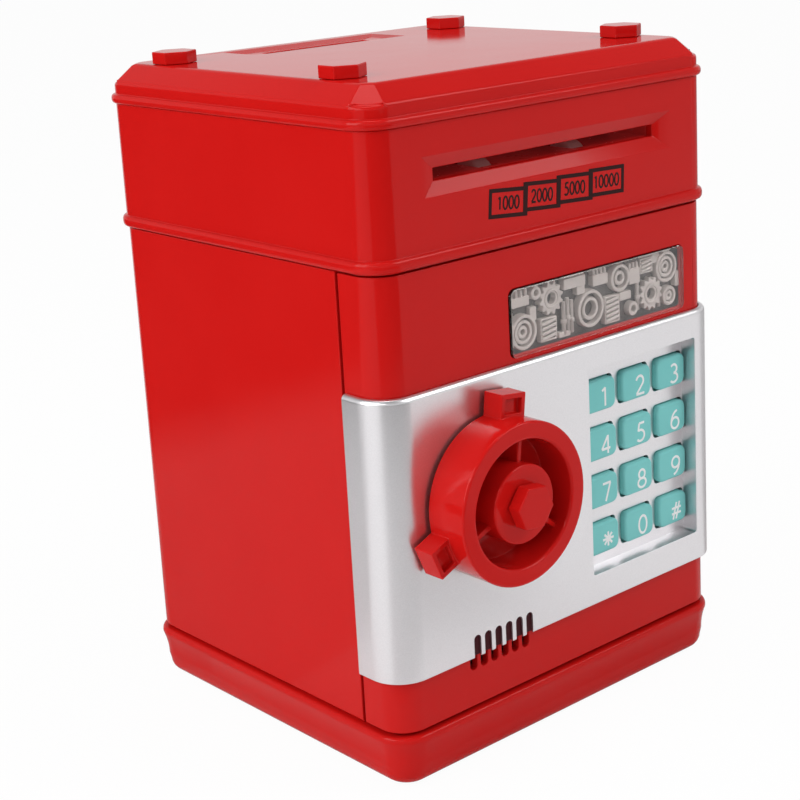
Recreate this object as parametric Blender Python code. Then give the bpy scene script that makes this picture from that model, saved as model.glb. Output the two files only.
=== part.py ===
"""Toy cash-machine savings bank, as an assembly of separate pieces.

Modelled in millimetres and scaled to metres when each piece is finished. +Z is up, the front
faces -Y and the origin is under the middle of the base. A moving piece has its origin on its
joint's axis.
"""

import math

import bpy
from mathutils import Matrix, Vector

for old in list(bpy.data.objects):
    bpy.data.objects.remove(old, do_unlink=True)

# Scale and clearances, in millimetres
MM = 0.001
SEAT = 0.3
RUNNING = 0.3
FREE = 0.5
PAST = 1.0
FAR = 200.0

# Fineness of round outlines
CORNER_SEGMENTS = 5
SMALL_SEGMENTS = 2
ROUNDING_STEPS = 3
ROUND_STEP = 1.1
ROUND_LEAST = 10
ROUND_MOST = 32
SMOOTH_UNDER = math.radians(35)

# Cabinet
BODY_WIDTH = 125.0
BODY_DEPTH = 114.4
CORNER_RADIUS = 8.0
LEAST_RADIUS = 0.4
WALL = 2.2
HOUSING_STEP = 0.3
LIP_HEIGHT = 3.0
LIP_WALL = 1.6
HALF_X = BODY_WIDTH / 2
HALF_Y = BODY_DEPTH / 2
HOUSING_X = HALF_X + HOUSING_STEP
HOUSING_Y = HALF_Y + HOUSING_STEP

# Heights of the cabinet's storeys
BASE_LOW = 0.4
BASE_ROUND = 4.2
BASE_DRAFT = 0.4
BASE_WALL = 6.0
BASE_TOP = 15.4
BASE_BEAD_HEIGHT = 4.4
BASE_BEAD_OUT = 1.3
DECK = 2.2
DECK_LOW = BASE_TOP - DECK
CASE_LOW = BASE_TOP + SEAT
CASE_CHAMFER = 0.8
DOOR_GAP_LOW = 1.0
DOOR_LOW = BASE_TOP + DOOR_GAP_LOW
DOOR_HEIGHT = 122.0
DOOR_TOP = DOOR_LOW + DOOR_HEIGHT
DOOR_GAP_TOP = 0.6
HOUSING_LOW = DOOR_TOP + DOOR_GAP_TOP
CASE_TOP = HOUSING_LOW - SEAT
FLOOR_THICK = 2.2
HOUSING_FLOOR = HOUSING_LOW + FLOOR_THICK
HOUSING_HEIGHT = 35.0
HOUSING_TOP = HOUSING_LOW + HOUSING_HEIGHT
MID_BEAD_LIFT = 0.2
MID_BEAD_HEIGHT = 3.2
MID_BEAD_OUT = 1.2
COVER_LOW = HOUSING_TOP + SEAT
TOP_BEAD_HEIGHT = 2.6
TOP_BEAD_OUT = 1.2
BAND_HEIGHT = 6.0
HIP_HEIGHT = 4.7
HIP_INSET = 5.6
COVER_SKIN = 2.4
HIP_LOW = COVER_LOW + BAND_HEIGHT
TOP = HIP_LOW + HIP_HEIGHT
CEILING = TOP - COVER_SKIN

# Base plate and battery bay
PLATE_THICK = 2.0
BAY_HALF_X = 30.0
BAY_HALF_Y = 22.0
BAY_WALL = 2.0
BAY_RISE = 5.6
BAY_SPARE = 0.6
BAY_TOP = BASE_TOP + BAY_RISE
BAY_Y = HALF_Y - BASE_WALL - BAY_SPARE - BAY_WALL - BAY_HALF_Y
BAY_FRONT = BAY_Y - BAY_HALF_Y
BAY_REAR = BAY_Y + BAY_HALF_Y
TAB_X = 18.0
TAB_HALF = 5.5
TAB_LENGTH = 9.0
LID_SUNK = 0.2
SCREW_RADIUS = 1.2
SCREW_LENGTH = 8.0
SCREW_HEAD = 2.6
SCREW_HEAD_THICK = 1.3
SCREW_SUNK = 0.1
BORE_RADIUS = SCREW_RADIUS + RUNNING
POST_RADIUS = 3.6
POST_IN_X = 14.5
POST_IN_Y = 13.2
POST_X = HALF_X - POST_IN_X
POST_Y = HALF_Y - POST_IN_Y

# Silver panel over the door's front
PANEL_PROUD = 1.9
PANEL_LIFT = 14.7
PANEL_HEIGHT = 76.5
PANEL_CHAMFER = 1.3
DOOR_FRONT = -HALF_Y
PANEL_FRONT = DOOR_FRONT - PANEL_PROUD
PANEL_LOW = DOOR_LOW + PANEL_LIFT
PANEL_TOP = PANEL_LOW + PANEL_HEIGHT

# Keypad, from its front to its rear
KEY_NAMES = (("1", "2", "3"), ("4", "5", "6"), ("7", "8", "9"), ("star", "0", "hash"))
KEY_HALF_X = 6.1
KEY_HALF_Z = 4.6
KEY_RADIUS = 2.0
KEY_PITCH_X = 14.8
KEY_PITCH_Z = 14.05
KEYS_RIGHT = 0.8
KEYS_DOWN = 0.6
KEY_EDGE = 0.3
KEY_FLANGE = 1.25
KEY_FLANGE_THICK = 0.8
KEY_FLANGE_IN = 0.1
KEY_TRAVEL = 1.2
KEY_GAP = 0.35
KEY_SUNK = 3.3
KEYPAD_SIDE = 1.35
KEYPAD_END = 4.175
KEYPAD_IN = 8.95
KEYPAD_LIFT = 8.75
KEYPAD_DEPTH = 5.0
TUB_WALL = 1.4
TUB_FLOOR = 1.2
MAT_THICK = 1.0
BOARD_THICK = 1.4
KEYPAD_HALF_X = KEY_PITCH_X + KEY_HALF_X + KEYPAD_SIDE
KEYPAD_HALF_Z = 1.5 * KEY_PITCH_Z + KEY_HALF_Z + KEYPAD_END
TUB_X = KEYPAD_HALF_X + TUB_WALL
TUB_Z = KEYPAD_HALF_Z + TUB_WALL
KEYPAD_X = HALF_X - KEYPAD_HALF_X - KEYPAD_IN
KEYPAD_Z = PANEL_LOW + KEYPAD_HALF_Z + KEYPAD_LIFT
KEY_FRONT = PANEL_FRONT + KEY_SUNK
TUB_FRONT = PANEL_FRONT + KEYPAD_DEPTH
FLANGE_FRONT = TUB_FRONT + TUB_FLOOR + SEAT
MAT_FRONT = FLANGE_FRONT + KEY_FLANGE_THICK + KEY_TRAVEL + SEAT
BOARD_FRONT = MAT_FRONT + MAT_THICK + SEAT

# Door and its hinge
DOOR_WALL = 2.4
DOOR_RIM = 2.0
DOOR_INNER = DOOR_FRONT + DOOR_WALL
BACK_THICK = 2.0
BACK_GAP = 0.7
BACK_FRONT = BOARD_FRONT + BOARD_THICK + BACK_GAP
BACK_REAR = BACK_FRONT + BACK_THICK
BACK_SUNK = 0.8
DOOR_REAR = BACK_REAR + SEAT + SCREW_HEAD_THICK + BACK_SUNK
HINGE_IN = 4.0
HINGE_BEHIND = 3.7
PIN_RADIUS = 1.5
PIN_LENGTH = 2.6
SWING_GAP = 0.5
HINGE_X = HALF_X - HINGE_IN
HINGE_Y = DOOR_FRONT + HINGE_BEHIND
SWING_RADIUS = math.hypot(HINGE_IN, DOOR_REAR - HINGE_Y)
CASE_FRONT = HINGE_Y + math.sqrt(SWING_RADIUS**2 - (HINGE_IN - WALL) ** 2) + SWING_GAP
PANEL_REAR = HINGE_Y + math.sqrt(SWING_RADIUS**2 - (HINGE_IN + PANEL_PROUD) ** 2)
BOSS_RADIUS = 2.7
BOSS_FLOOR = 1.5
BOSS_IN_LEFT = 7.5
BOSS_IN_RIGHT = 12.5
BOSS_IN_LOW = 6.6
BOSS_IN_TOP = 5.9
BOSS_X = (-HALF_X + BOSS_IN_LEFT, HALF_X - BOSS_IN_RIGHT)
BOSS_Z = (DOOR_LOW + BOSS_IN_LOW, DOOR_TOP - BOSS_IN_TOP)

# Window
WINDOW_HALF_X = 34.6
WINDOW_HALF_Z = 9.35
WINDOW_RADIUS = 2.0
WINDOW_IN = 11.5
WINDOW_LIFT = 1.05
WINDOW_X = HALF_X - WINDOW_HALF_X - WINDOW_IN
WINDOW_Z = PANEL_TOP + WINDOW_HALF_Z + WINDOW_LIFT
LENS_PROUD = 0.7
LENS_BEVEL = 0.7
LEDGE_DEPTH = 1.3
LEDGE_WIDTH = 1.8
LEDGE_RADIUS = 1.0
RELIEF_THICK = 1.5
RELIEF_MARGIN = 1.2
RELIEF_RADIUS = 1.5
RELIEF_BAR = 1.1
RELIEF_BAR_REACH = 6.0
RELIEF_BARS = (-0.36, -0.25, 0.36, 0.50, 0.64, 0.78, 0.92)
RELIEF_DISCS = ((6.0, 0.9, -0.72), (3.6, 0.0, -0.72), (5.0, 0.6, 0.05), (2.2, 0.0, 0.05))

# Dial, lock and latch
DIAL_IN = 32.6
DIAL_LIFT = 44.45
DIAL_X = -HALF_X + DIAL_IN
DIAL_Z = PANEL_LOW + DIAL_LIFT
DIAL_TURN = math.radians(-7.0)
DIAL_GAP = 0.8
DIAL_RADIUS = 21.9
DIAL_INNER = 17.1
DIAL_HEIGHT = 13.6
DIAL_BACK = 2.0
HUB_RADIUS = 10.6
HUB_SUNK = 0.4
WEB_THICK = 1.5
WEB_SUNK = 1.4
WEB_IN_HUB = 2.0
LUG_COUNT = 3
LUG_HALF = 4.3
LUG_REACH = 6.0
LUG_TIP = DIAL_RADIUS + LUG_REACH
LUG_HEIGHT = 6.6
LUG_POCKET = 1.5
LUG_RIM = 1.4
NUT_FLATS = 10.9
NUT_HEIGHT = 4.1
SHAFT_RADIUS = 3.0
SHAFT_ROOM = SHAFT_RADIUS + FREE
SHAFT_BORE = SHAFT_RADIUS + SEAT
SHAFT_IN_HUB = 8.0
DISC_RADIUS = 9.0
DISC_THICK = 3.0
DISC_GAP = 1.8
DISC_FRONT = DOOR_INNER + DISC_GAP
NOTCH_FLOOR = 5.2
PLUNGER_RADIUS = 2.0
PLUNGER_GAP = 0.6
PLUNGER_TRAVEL = 3.0
PLUNGER_LENGTH = 12.0
SOLENOID_HALF = 6.5
SOLENOID_HEIGHT = 14.0
TONGUE_THICK = 2.0
TONGUE_HALF = 4.0
TONGUE_LENGTH = DIAL_X + HALF_X - WALL - FREE
TONGUE_HUB = 6.0
STRIKE_THICK = 1.6
STRIKE_WIDTH = 6.7
STRIKE_HEIGHT = 34.0
TONGUE_FRONT = CASE_FRONT + STRIKE_THICK + FREE
TONGUE_REAR = TONGUE_FRONT + TONGUE_THICK
RING_THICK = 2.0
RING_FRONT = TONGUE_REAR + SEAT
SHAFT_END = RING_FRONT + RING_THICK + SEAT

# Vents and speaker
VENT_COUNT = 6
VENT_PITCH = 3.88
VENT_WIDTH = 2.5
VENT_ROUND = 0.98
VENT_IN = 36.0
VENT_RISE = 6.3
VENT_DROP = 4.4
VENT_X = -HALF_X + VENT_IN
VENT_TOP = PANEL_LOW + VENT_RISE
VENT_LOW = PANEL_LOW - VENT_DROP
SPEAKER_LIFT = 2.1
SPEAKER_Z = PANEL_LOW + SPEAKER_LIFT
SPEAKER_RADIUS = 13.8
SPEAKER_MAGNET = 8.0
SPEAKER_RIM = 2.2
SPEAKER_CONE = 3.0

# Bill slot
SLOT_LIFT = 19.8
SLOT_IN = 21.8
SLOT_Z = HOUSING_FLOOR + SLOT_LIFT
SLOT_HALF = HALF_X - SLOT_IN
SLOT_HEIGHT = 3.2
SLOT_RECESS = 2.0
SLOT_RIM_SIDE = 5.0
SLOT_RIM_LOW = 5.2
SLOT_RIM_HIGH = 5.0
SLOT_RECESS_HALF = SLOT_HALF + SLOT_RIM_SIDE
SLOT_RECESS_LOW = SLOT_Z - SLOT_RIM_LOW
SLOT_RECESS_HIGH = SLOT_Z + SLOT_RIM_HIGH
SLOT_BLOCK = 4.2
SLOT_BLOCK_EDGE = 1.2
BLOCK_HALF = SLOT_RECESS_HALF + SLOT_BLOCK_EDGE

# Feeder behind the slot
FEED_IN = 12.0
FEED_Y = -HALF_Y + FEED_IN
ROLLER_RADIUS = 5.2
ROLLER_HALF = 2.9
ROLLER_IN = 23.4
ROLLER_X = SLOT_HALF - ROLLER_IN
NIP = 0.3
FEED_SHAFT = 1.6
SHAFT_PROUD = 2.0
CHEEK_GAP = 2.3
CHEEK_X = SLOT_HALF + CHEEK_GAP
CHEEK_THICK = 2.0
CHEEK_OUT = CHEEK_X + CHEEK_THICK
CHEEK_IN = 5.6
CHEEK_LENGTH = 34.6
CHEEK_SUNK = 2.0
CHEEK_FRONT = -HALF_Y + CHEEK_IN
CHEEK_REAR = CHEEK_FRONT + CHEEK_LENGTH
CHEEK_TOP = HOUSING_TOP - CHEEK_SUNK
CROSSBAR_WIDTH = 3.0
CROSSBAR_THICK = 2.4
DRIVE_Z = SLOT_Z - NIP / 2 - ROLLER_RADIUS
PINCH_Z = SLOT_Z + NIP / 2 + ROLLER_RADIUS

# Feed gears and motor
GEAR_MODULE = 0.6
GEAR_TEETH = 28
PINION_TEETH = 10
GEAR_WIDTH = 4.0
GEAR_BACKLASH = 0.35
TOOTH_ROOT = 1.15
TOOTH_TIP = 0.8
TOOTH_SHAPE = (0.30, 0.20, 0.10)
MOTOR_RADIUS = 9.6
MOTOR_FLAT = 7.4
MOTOR_LENGTH = 20.0
MOTOR_SHAFT = 1.0
GEAR_CENTRES = GEAR_MODULE * (GEAR_TEETH + PINION_TEETH) / 2 + GEAR_BACKLASH
GEAR_GAP = 0.7
GEAR_X = max(CHEEK_OUT, BLOCK_HALF) + GEAR_GAP
GEAR_END = GEAR_X + GEAR_WIDTH
MOTOR_Z = HOUSING_FLOOR + SEAT + MOTOR_FLAT
MOTOR_Y = FEED_Y + math.sqrt(GEAR_CENTRES**2 - (DRIVE_Z - MOTOR_Z) ** 2)

# Opening in the housing's floor
DROP_SIDE = 3.3
DROP_BEHIND = 5.0
DROP_IN = 11.2
DROP_HALF_X = SLOT_HALF + DROP_SIDE
DROP_FRONT = CHEEK_REAR + DROP_BEHIND
DROP_REAR = HALF_Y - DROP_IN

# Top cover fittings
BOLT_IN_X = 11.5
BOLT_IN_FRONT = 21.8
BOLT_IN_REAR = 18.8
BOLT_X = HALF_X - BOLT_IN_X
BOLT_Y = (-HALF_Y + BOLT_IN_FRONT, HALF_Y - BOLT_IN_REAR)
BOLT_FLATS = 10.7
BOLT_HEIGHT = 3.1
BOLT_SHANK = 3.0
BOLT_BELOW = 2.0
COIN_IN = 17.7
COIN_Y = HALF_Y - COIN_IN
COIN_HALF = 19.2
COIN_WIDTH = 3.0
COIN_DISH_X = 28.0
COIN_DISH_Y = 8.0
COIN_DISH_DEPTH = 0.8
COIN_DISH_SLOPE = 1.8

# Control board in the housing
BOARD_IN = 9.5
BOARD_X = -HALF_X + BOARD_IN
BOARD_Y = 12.0
BOARD_HALF_X = 5.5
BOARD_HALF_Y = 22.0
BOARD_LIFT = 2.5
BOARD_REST = 1.5
BOARD_REST_IN = 2.0
CHIP_HEIGHT = 2.0
CHIP_REACH = 6.0
CAPACITOR_RADIUS = 2.5
CAPACITOR_HEIGHT = 8.0

# Colours: red, green, blue, roughness, metallic
RED = (0.58, 0.012, 0.010, 0.18, 0.0)
SILVER = (0.66, 0.64, 0.65, 0.32, 0.6)
AQUA = (0.18, 0.52, 0.50, 0.55, 0.0)
CLEAR = (0.75, 0.73, 0.71, 0.08, 0.0)
BEIGE = (0.46, 0.43, 0.41, 0.50, 0.0)
RUBBER = (0.72, 0.70, 0.66, 0.70, 0.0)
DARK_RUBBER = (0.03, 0.03, 0.03, 0.70, 0.0)
STEEL = (0.62, 0.62, 0.63, 0.30, 1.0)
NYLON = (0.80, 0.79, 0.75, 0.45, 0.0)
BLACK = (0.02, 0.02, 0.02, 0.40, 0.0)
BOARD_GREEN = (0.03, 0.16, 0.06, 0.45, 0.0)


# Outlines


def rounded_rect(half_u, half_v, radius, centre=(0.0, 0.0), segments=CORNER_SEGMENTS):
    """Counter-clockwise outline of a rectangle with round corners."""
    points = []
    for k, (su, sv) in enumerate(((1, 1), (-1, 1), (-1, -1), (1, -1))):
        cu = centre[0] + su * (half_u - radius)
        cv = centre[1] + sv * (half_v - radius)
        for i in range(segments + 1):
            angle = math.pi / 2 * (k + i / segments)
            points.append((cu + radius * math.cos(angle), cv + radius * math.sin(angle)))
    return points


def soft_rect(half_u, half_v, radius, centre):
    """Rectangle with small round corners, drawn with few points."""
    return rounded_rect(half_u, half_v, radius, centre, SMALL_SEGMENTS)


def circle(radius, centre=(0.0, 0.0), count=16, start=0.0):
    """Counter-clockwise regular outline; a few points make a hexagon."""
    steps = [start + 2 * math.pi * i / count for i in range(count)]
    return [(centre[0] + radius * math.cos(a), centre[1] + radius * math.sin(a)) for a in steps]


def rectangle(u0, u1, v0, v1):
    return [(u0, v0), (u1, v0), (u1, v1), (u0, v1)]


def round_count(radius):
    """Points on a round outline: a multiple of four, more for larger circles."""
    return 4 * round(min(ROUND_MOST, ROUND_LEAST + radius * ROUND_STEP) / 4)


def turned_points(points, angle, centre):
    """The points turned about the centre."""
    c, s = math.cos(angle), math.sin(angle)
    return [(centre[0] + c * u - s * v, centre[1] + s * u + c * v) for u, v in points]


def half_round(low, height, out, steps=4):
    """(height, offset) pairs up the side of a half-round bead."""
    mid, half = low + height / 2, height / 2
    angles = [math.pi * i / steps for i in range(steps + 1)]
    return [(mid - half * math.cos(a), out * math.sin(a)) for a in angles]


# Solids


def loft(sections, axis="Z"):
    """Closed solid through equal-length outlines, given as (outline, place) along the axis.

    Outlines are (x, y) for Z and (y, z) for X, with rising places. For Y they are (x, z) as
    seen from the front, with falling places.
    """
    count = len(sections[0][0])
    turn = {
        "Z": lambda u, v, w: (u, v, w),
        "X": lambda u, v, w: (w, u, v),
        "Y": lambda u, v, w: (u, w, v),
    }[axis]
    verts = [turn(u, v, w) for outline, w in sections for u, v in outline]
    last = (len(sections) - 1) * count
    faces = [tuple(reversed(range(count))), tuple(range(last, last + count))]
    for k in range(len(sections) - 1):
        for i in range(count):
            j = (i + 1) % count
            faces.append((k * count + i, k * count + j, (k + 1) * count + j, (k + 1) * count + i))
    mesh = bpy.data.meshes.new("shape")
    mesh.from_pydata(verts, [], faces)
    obj = bpy.data.objects.new("shape", mesh)
    bpy.context.scene.collection.objects.link(obj)
    return obj


def prism(outline, low, high, axis="Z"):
    """Straight extrusion of an outline between two places on the axis."""
    ends = (high, low) if axis == "Y" else (low, high)
    return loft([(outline, ends[0]), (outline, ends[1])], axis)


def box(x0, x1, y0, y1, z0, z1):
    return prism(rectangle(x0, x1, y0, y1), z0, z1)


def turned(profile, axis, centre):
    """Round piece from (radius, place) pairs along the axis through the centre."""
    count = round_count(max(radius for radius, _ in profile))
    return loft([(circle(radius, centre, count), place) for radius, place in profile], axis)


def cylinder(radius, low, high, axis, centre):
    return prism(circle(radius, centre, round_count(radius)), low, high, axis)


def stack(half_x, half_y, radius, profile):
    """Rounded cabinet storey whose outline grows by each (height, offset)."""
    sections = []
    for z, grown in profile:
        outline = rounded_rect(half_x + grown, half_y + grown, max(radius + grown, LEAST_RADIUS))
        sections.append((outline, z))
    return loft(sections)


def apply_boolean(target, tools, operation):
    """Join or cut the target with each tool in turn; the tools are used up."""
    for tool in tools:
        modifier = target.modifiers.new(operation.lower(), "BOOLEAN")
        modifier.operation = operation
        modifier.object = tool
    bpy.context.view_layer.update()
    graph = bpy.context.evaluated_depsgraph_get()
    mesh = bpy.data.meshes.new_from_object(target.evaluated_get(graph))
    target.modifiers.clear()
    target.data = mesh
    for tool in tools:
        bpy.data.objects.remove(tool, do_unlink=True)
    return target


def join(target, *tools):
    return apply_boolean(target, tools, "UNION")


def cut(target, *tools):
    return apply_boolean(target, tools, "DIFFERENCE")


def finish(obj, name, look, origin=(0.0, 0.0, 0.0)):
    """Name the piece, scale it to metres about its origin and give it its own material."""
    obj.name = name
    obj.data.name = name
    obj.data.transform(Matrix.Scale(MM, 4) @ Matrix.Translation(-Vector(origin)))
    obj.location = Vector(origin) * MM
    obj.data.shade_smooth()
    obj.data.set_sharp_from_angle(angle=SMOOTH_UNDER)
    red, green, blue, roughness, metallic = look
    material = bpy.data.materials.new(name)
    material.use_nodes = True
    shader = material.node_tree.nodes["Principled BSDF"]
    shader.inputs["Base Color"].default_value = (red, green, blue, 1.0)
    shader.inputs["Roughness"].default_value = roughness
    shader.inputs["Metallic"].default_value = metallic
    obj.data.materials.clear()
    obj.data.materials.append(material)
    return obj


def pan_screw(centre, place):
    """Screw along Y with its head's outer face at the place and its shank toward the front."""
    under = place - SCREW_HEAD_THICK
    tip = place - SCREW_LENGTH
    profile = ((SCREW_HEAD, place), (SCREW_HEAD, under), (SCREW_RADIUS, under), (SCREW_RADIUS, tip))
    return turned(profile, "Y", centre)


def bottom_screw(centre):
    """Screw with its head down in the counterbore, a little above the face that the bank stands on."""
    low, top = SCREW_SUNK, SCREW_HEAD_THICK - SEAT
    tip = DECK_LOW - PAST
    profile = ((SCREW_HEAD, low), (SCREW_HEAD, top), (SCREW_RADIUS, top), (SCREW_RADIUS, tip))
    return turned(profile, "Z", centre)


def lip_ring(low, high):
    """Locating ring that fits inside the lower body's walls, left out along the door's opening."""
    inset = WALL + RUNNING
    outer = (HALF_X - inset, HALF_Y - inset, CORNER_RADIUS - inset)
    ring = prism(rounded_rect(*outer), low, high)
    inner = [size - LIP_WALL for size in outer]
    return cut(
        ring,
        prism(rounded_rect(*inner), low - PAST, high + PAST),
        box(-FAR, FAR, -FAR, TONGUE_FRONT + PAST, low - PAST, high + PAST),
    )


# Base


def build_base():
    steps = [math.pi / 2 * i / ROUNDING_STEPS for i in range(ROUNDING_STEPS + 1)]
    rounding = [
        (BASE_LOW + BASE_ROUND * (1 - math.cos(a)), -BASE_DRAFT - BASE_ROUND * (1 - math.sin(a)))
        for a in steps
    ]
    bead = half_round(BASE_TOP - BASE_BEAD_HEIGHT, BASE_BEAD_HEIGHT, BASE_BEAD_OUT)
    tray = stack(HALF_X, HALF_Y, CORNER_RADIUS, rounding + bead)
    out_x = BAY_HALF_X + BAY_WALL
    mid_deck = BASE_TOP - DECK / 2
    hump = box(-out_x, out_x, BAY_FRONT - BAY_WALL, BAY_REAR + BAY_WALL, mid_deck, BAY_TOP + BAY_WALL)
    tray = join(tray, hump, lip_ring(mid_deck, BASE_TOP + LIP_HEIGHT))
    inner = rounded_rect(HALF_X - BASE_WALL, HALF_Y - BASE_WALL, CORNER_RADIUS - BASE_WALL)
    pin_floor = DOOR_LOW - PIN_LENGTH - SEAT
    tray = cut(
        tray,
        prism(inner, -PAST, DECK_LOW),
        box(-BAY_HALF_X, BAY_HALF_X, BAY_FRONT, BAY_REAR, DECK_LOW - PAST, BAY_TOP),
        cylinder(PIN_RADIUS + RUNNING, pin_floor, BASE_TOP + PAST, "Z", (HINGE_X, HINGE_Y)),
    )
    posts = [(x, y) for x in (-POST_X, POST_X) for y in (-POST_Y, POST_Y)]
    tab_screw = (TAB_X, BAY_FRONT - TAB_LENGTH / 2)
    spots = posts + [tab_screw]
    post_low = PLATE_THICK + SEAT
    tray = join(tray, *[cylinder(POST_RADIUS, post_low, mid_deck, "Z", p) for p in spots])
    tray = cut(tray, *[cylinder(BORE_RADIUS, 0, DECK_LOW, "Z", p) for p in spots])
    finish(tray, "base_tray", RED)

    fit = BASE_WALL + SEAT
    plate = prism(rounded_rect(HALF_X - fit, HALF_Y - fit, CORNER_RADIUS - fit), 0, PLATE_THICK)
    head_room = SCREW_HEAD + RUNNING
    tab_front = BAY_FRONT - TAB_LENGTH
    above = PLATE_THICK + PAST
    plate = cut(
        plate,
        box(-BAY_HALF_X, BAY_HALF_X, BAY_FRONT, BAY_REAR, -PAST, above),
        box(TAB_X - TAB_HALF, TAB_X + TAB_HALF, tab_front, BAY_FRONT + PAST, -PAST, above),
        *[cylinder(BORE_RADIUS, -PAST, above, "Z", p) for p in posts],
        *[cylinder(head_room, -PAST, SCREW_HEAD_THICK, "Z", p) for p in posts],
    )
    finish(plate, "bottom_plate", RED)

    in_x = BAY_HALF_X - SEAT
    tab_in = TAB_HALF - SEAT
    lid = join(
        box(-in_x, in_x, BAY_FRONT + SEAT, BAY_REAR - SEAT, LID_SUNK, PLATE_THICK),
        box(TAB_X - tab_in, TAB_X + tab_in, tab_front + SEAT, BAY_FRONT + PAST, LID_SUNK, PLATE_THICK),
    )
    lid = cut(
        lid,
        cylinder(BORE_RADIUS, -PAST, above, "Z", tab_screw),
        cylinder(head_room, -PAST, SCREW_HEAD_THICK, "Z", tab_screw),
    )
    finish(lid, "battery_cover", RED)
    for i, spot in enumerate(posts):
        finish(bottom_screw(spot), f"base_screw_{i + 1}", STEEL)
    finish(bottom_screw(tab_screw), "battery_cover_screw", STEEL)


# Rear case


def build_rear_case():
    profile = [(CASE_LOW, -CASE_CHAMFER), (CASE_LOW + CASE_CHAMFER, 0), (CASE_TOP, 0)]
    case = stack(HALF_X, HALF_Y, CORNER_RADIUS, profile)
    inner = rounded_rect(HALF_X - WALL, HALF_Y - WALL, CORNER_RADIUS - WALL)
    case = cut(
        case,
        prism(inner, CASE_LOW - PAST, CASE_TOP + PAST),
        box(-FAR, FAR, -FAR, CASE_FRONT, 0, FAR),
    )
    finish(case, "rear_case", RED)
    edge = -HALF_X + WALL + SEAT
    low, high = DIAL_Z - STRIKE_HEIGHT / 2, DIAL_Z + STRIKE_HEIGHT / 2
    strike = box(edge, edge + STRIKE_WIDTH, CASE_FRONT, CASE_FRONT + STRIKE_THICK, low, high)
    finish(strike, "strike_plate", STEEL)


# Upper housing and top cover


def build_upper_housing():
    bead = half_round(HOUSING_LOW + MID_BEAD_LIFT, MID_BEAD_HEIGHT, MID_BEAD_OUT)
    profile = [(HOUSING_LOW, 0)] + bead + [(HOUSING_TOP, 0)]
    shell = stack(HOUSING_X, HOUSING_Y, CORNER_RADIUS, profile)
    inner = rounded_rect(HOUSING_X - WALL, HOUSING_Y - WALL, CORNER_RADIUS - WALL)
    shell = cut(shell, prism(inner, HOUSING_FLOOR, HOUSING_TOP + PAST))
    front = -HOUSING_Y
    block_rear = front + SLOT_BLOCK
    block_low, block_high = SLOT_RECESS_LOW - SLOT_BLOCK_EDGE, SLOT_RECESS_HIGH + SLOT_BLOCK_EDGE
    block = box(-BLOCK_HALF, BLOCK_HALF, front + WALL / 2, block_rear, block_low, block_high)
    rest_low, rest_top = HOUSING_FLOOR - PAST, HOUSING_FLOOR + BOARD_LIFT
    rest_x0, rest_x1 = BOARD_X - BOARD_HALF_X, BOARD_X + BOARD_HALF_X
    rest_reach = BOARD_HALF_Y - BOARD_REST_IN
    rests = [
        box(rest_x0, rest_x1, y - BOARD_REST, y + BOARD_REST, rest_low, rest_top)
        for y in (BOARD_Y - rest_reach, BOARD_Y + rest_reach)
    ]
    shell = join(shell, block, lip_ring(HOUSING_LOW - LIP_HEIGHT, HOUSING_LOW + PAST), *rests)
    slot_low, slot_high = SLOT_Z - SLOT_HEIGHT / 2, SLOT_Z + SLOT_HEIGHT / 2
    slot = rectangle(-SLOT_HALF, SLOT_HALF, slot_low, slot_high)
    recess = rectangle(-SLOT_RECESS_HALF, SLOT_RECESS_HALF, SLOT_RECESS_LOW, SLOT_RECESS_HIGH)
    mouth = loft([(slot, front + SLOT_RECESS), (recess, front), (recess, front - PAST)], "Y")
    floor_low, floor_high = HOUSING_LOW - PAST, HOUSING_FLOOR + PAST
    shell = cut(
        shell,
        mouth,
        box(-SLOT_HALF, SLOT_HALF, front - PAST, block_rear + PAST, slot_low, slot_high),
        box(-DROP_HALF_X, DROP_HALF_X, DROP_FRONT, DROP_REAR, floor_low, floor_high),
        cylinder(PIN_RADIUS + RUNNING, floor_low, floor_high, "Z", (HINGE_X, HINGE_Y)),
    )
    finish(shell, "upper_housing", RED)


def bolt_places():
    return [(x, y) for y in BOLT_Y for x in (-BOLT_X, BOLT_X)]


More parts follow.
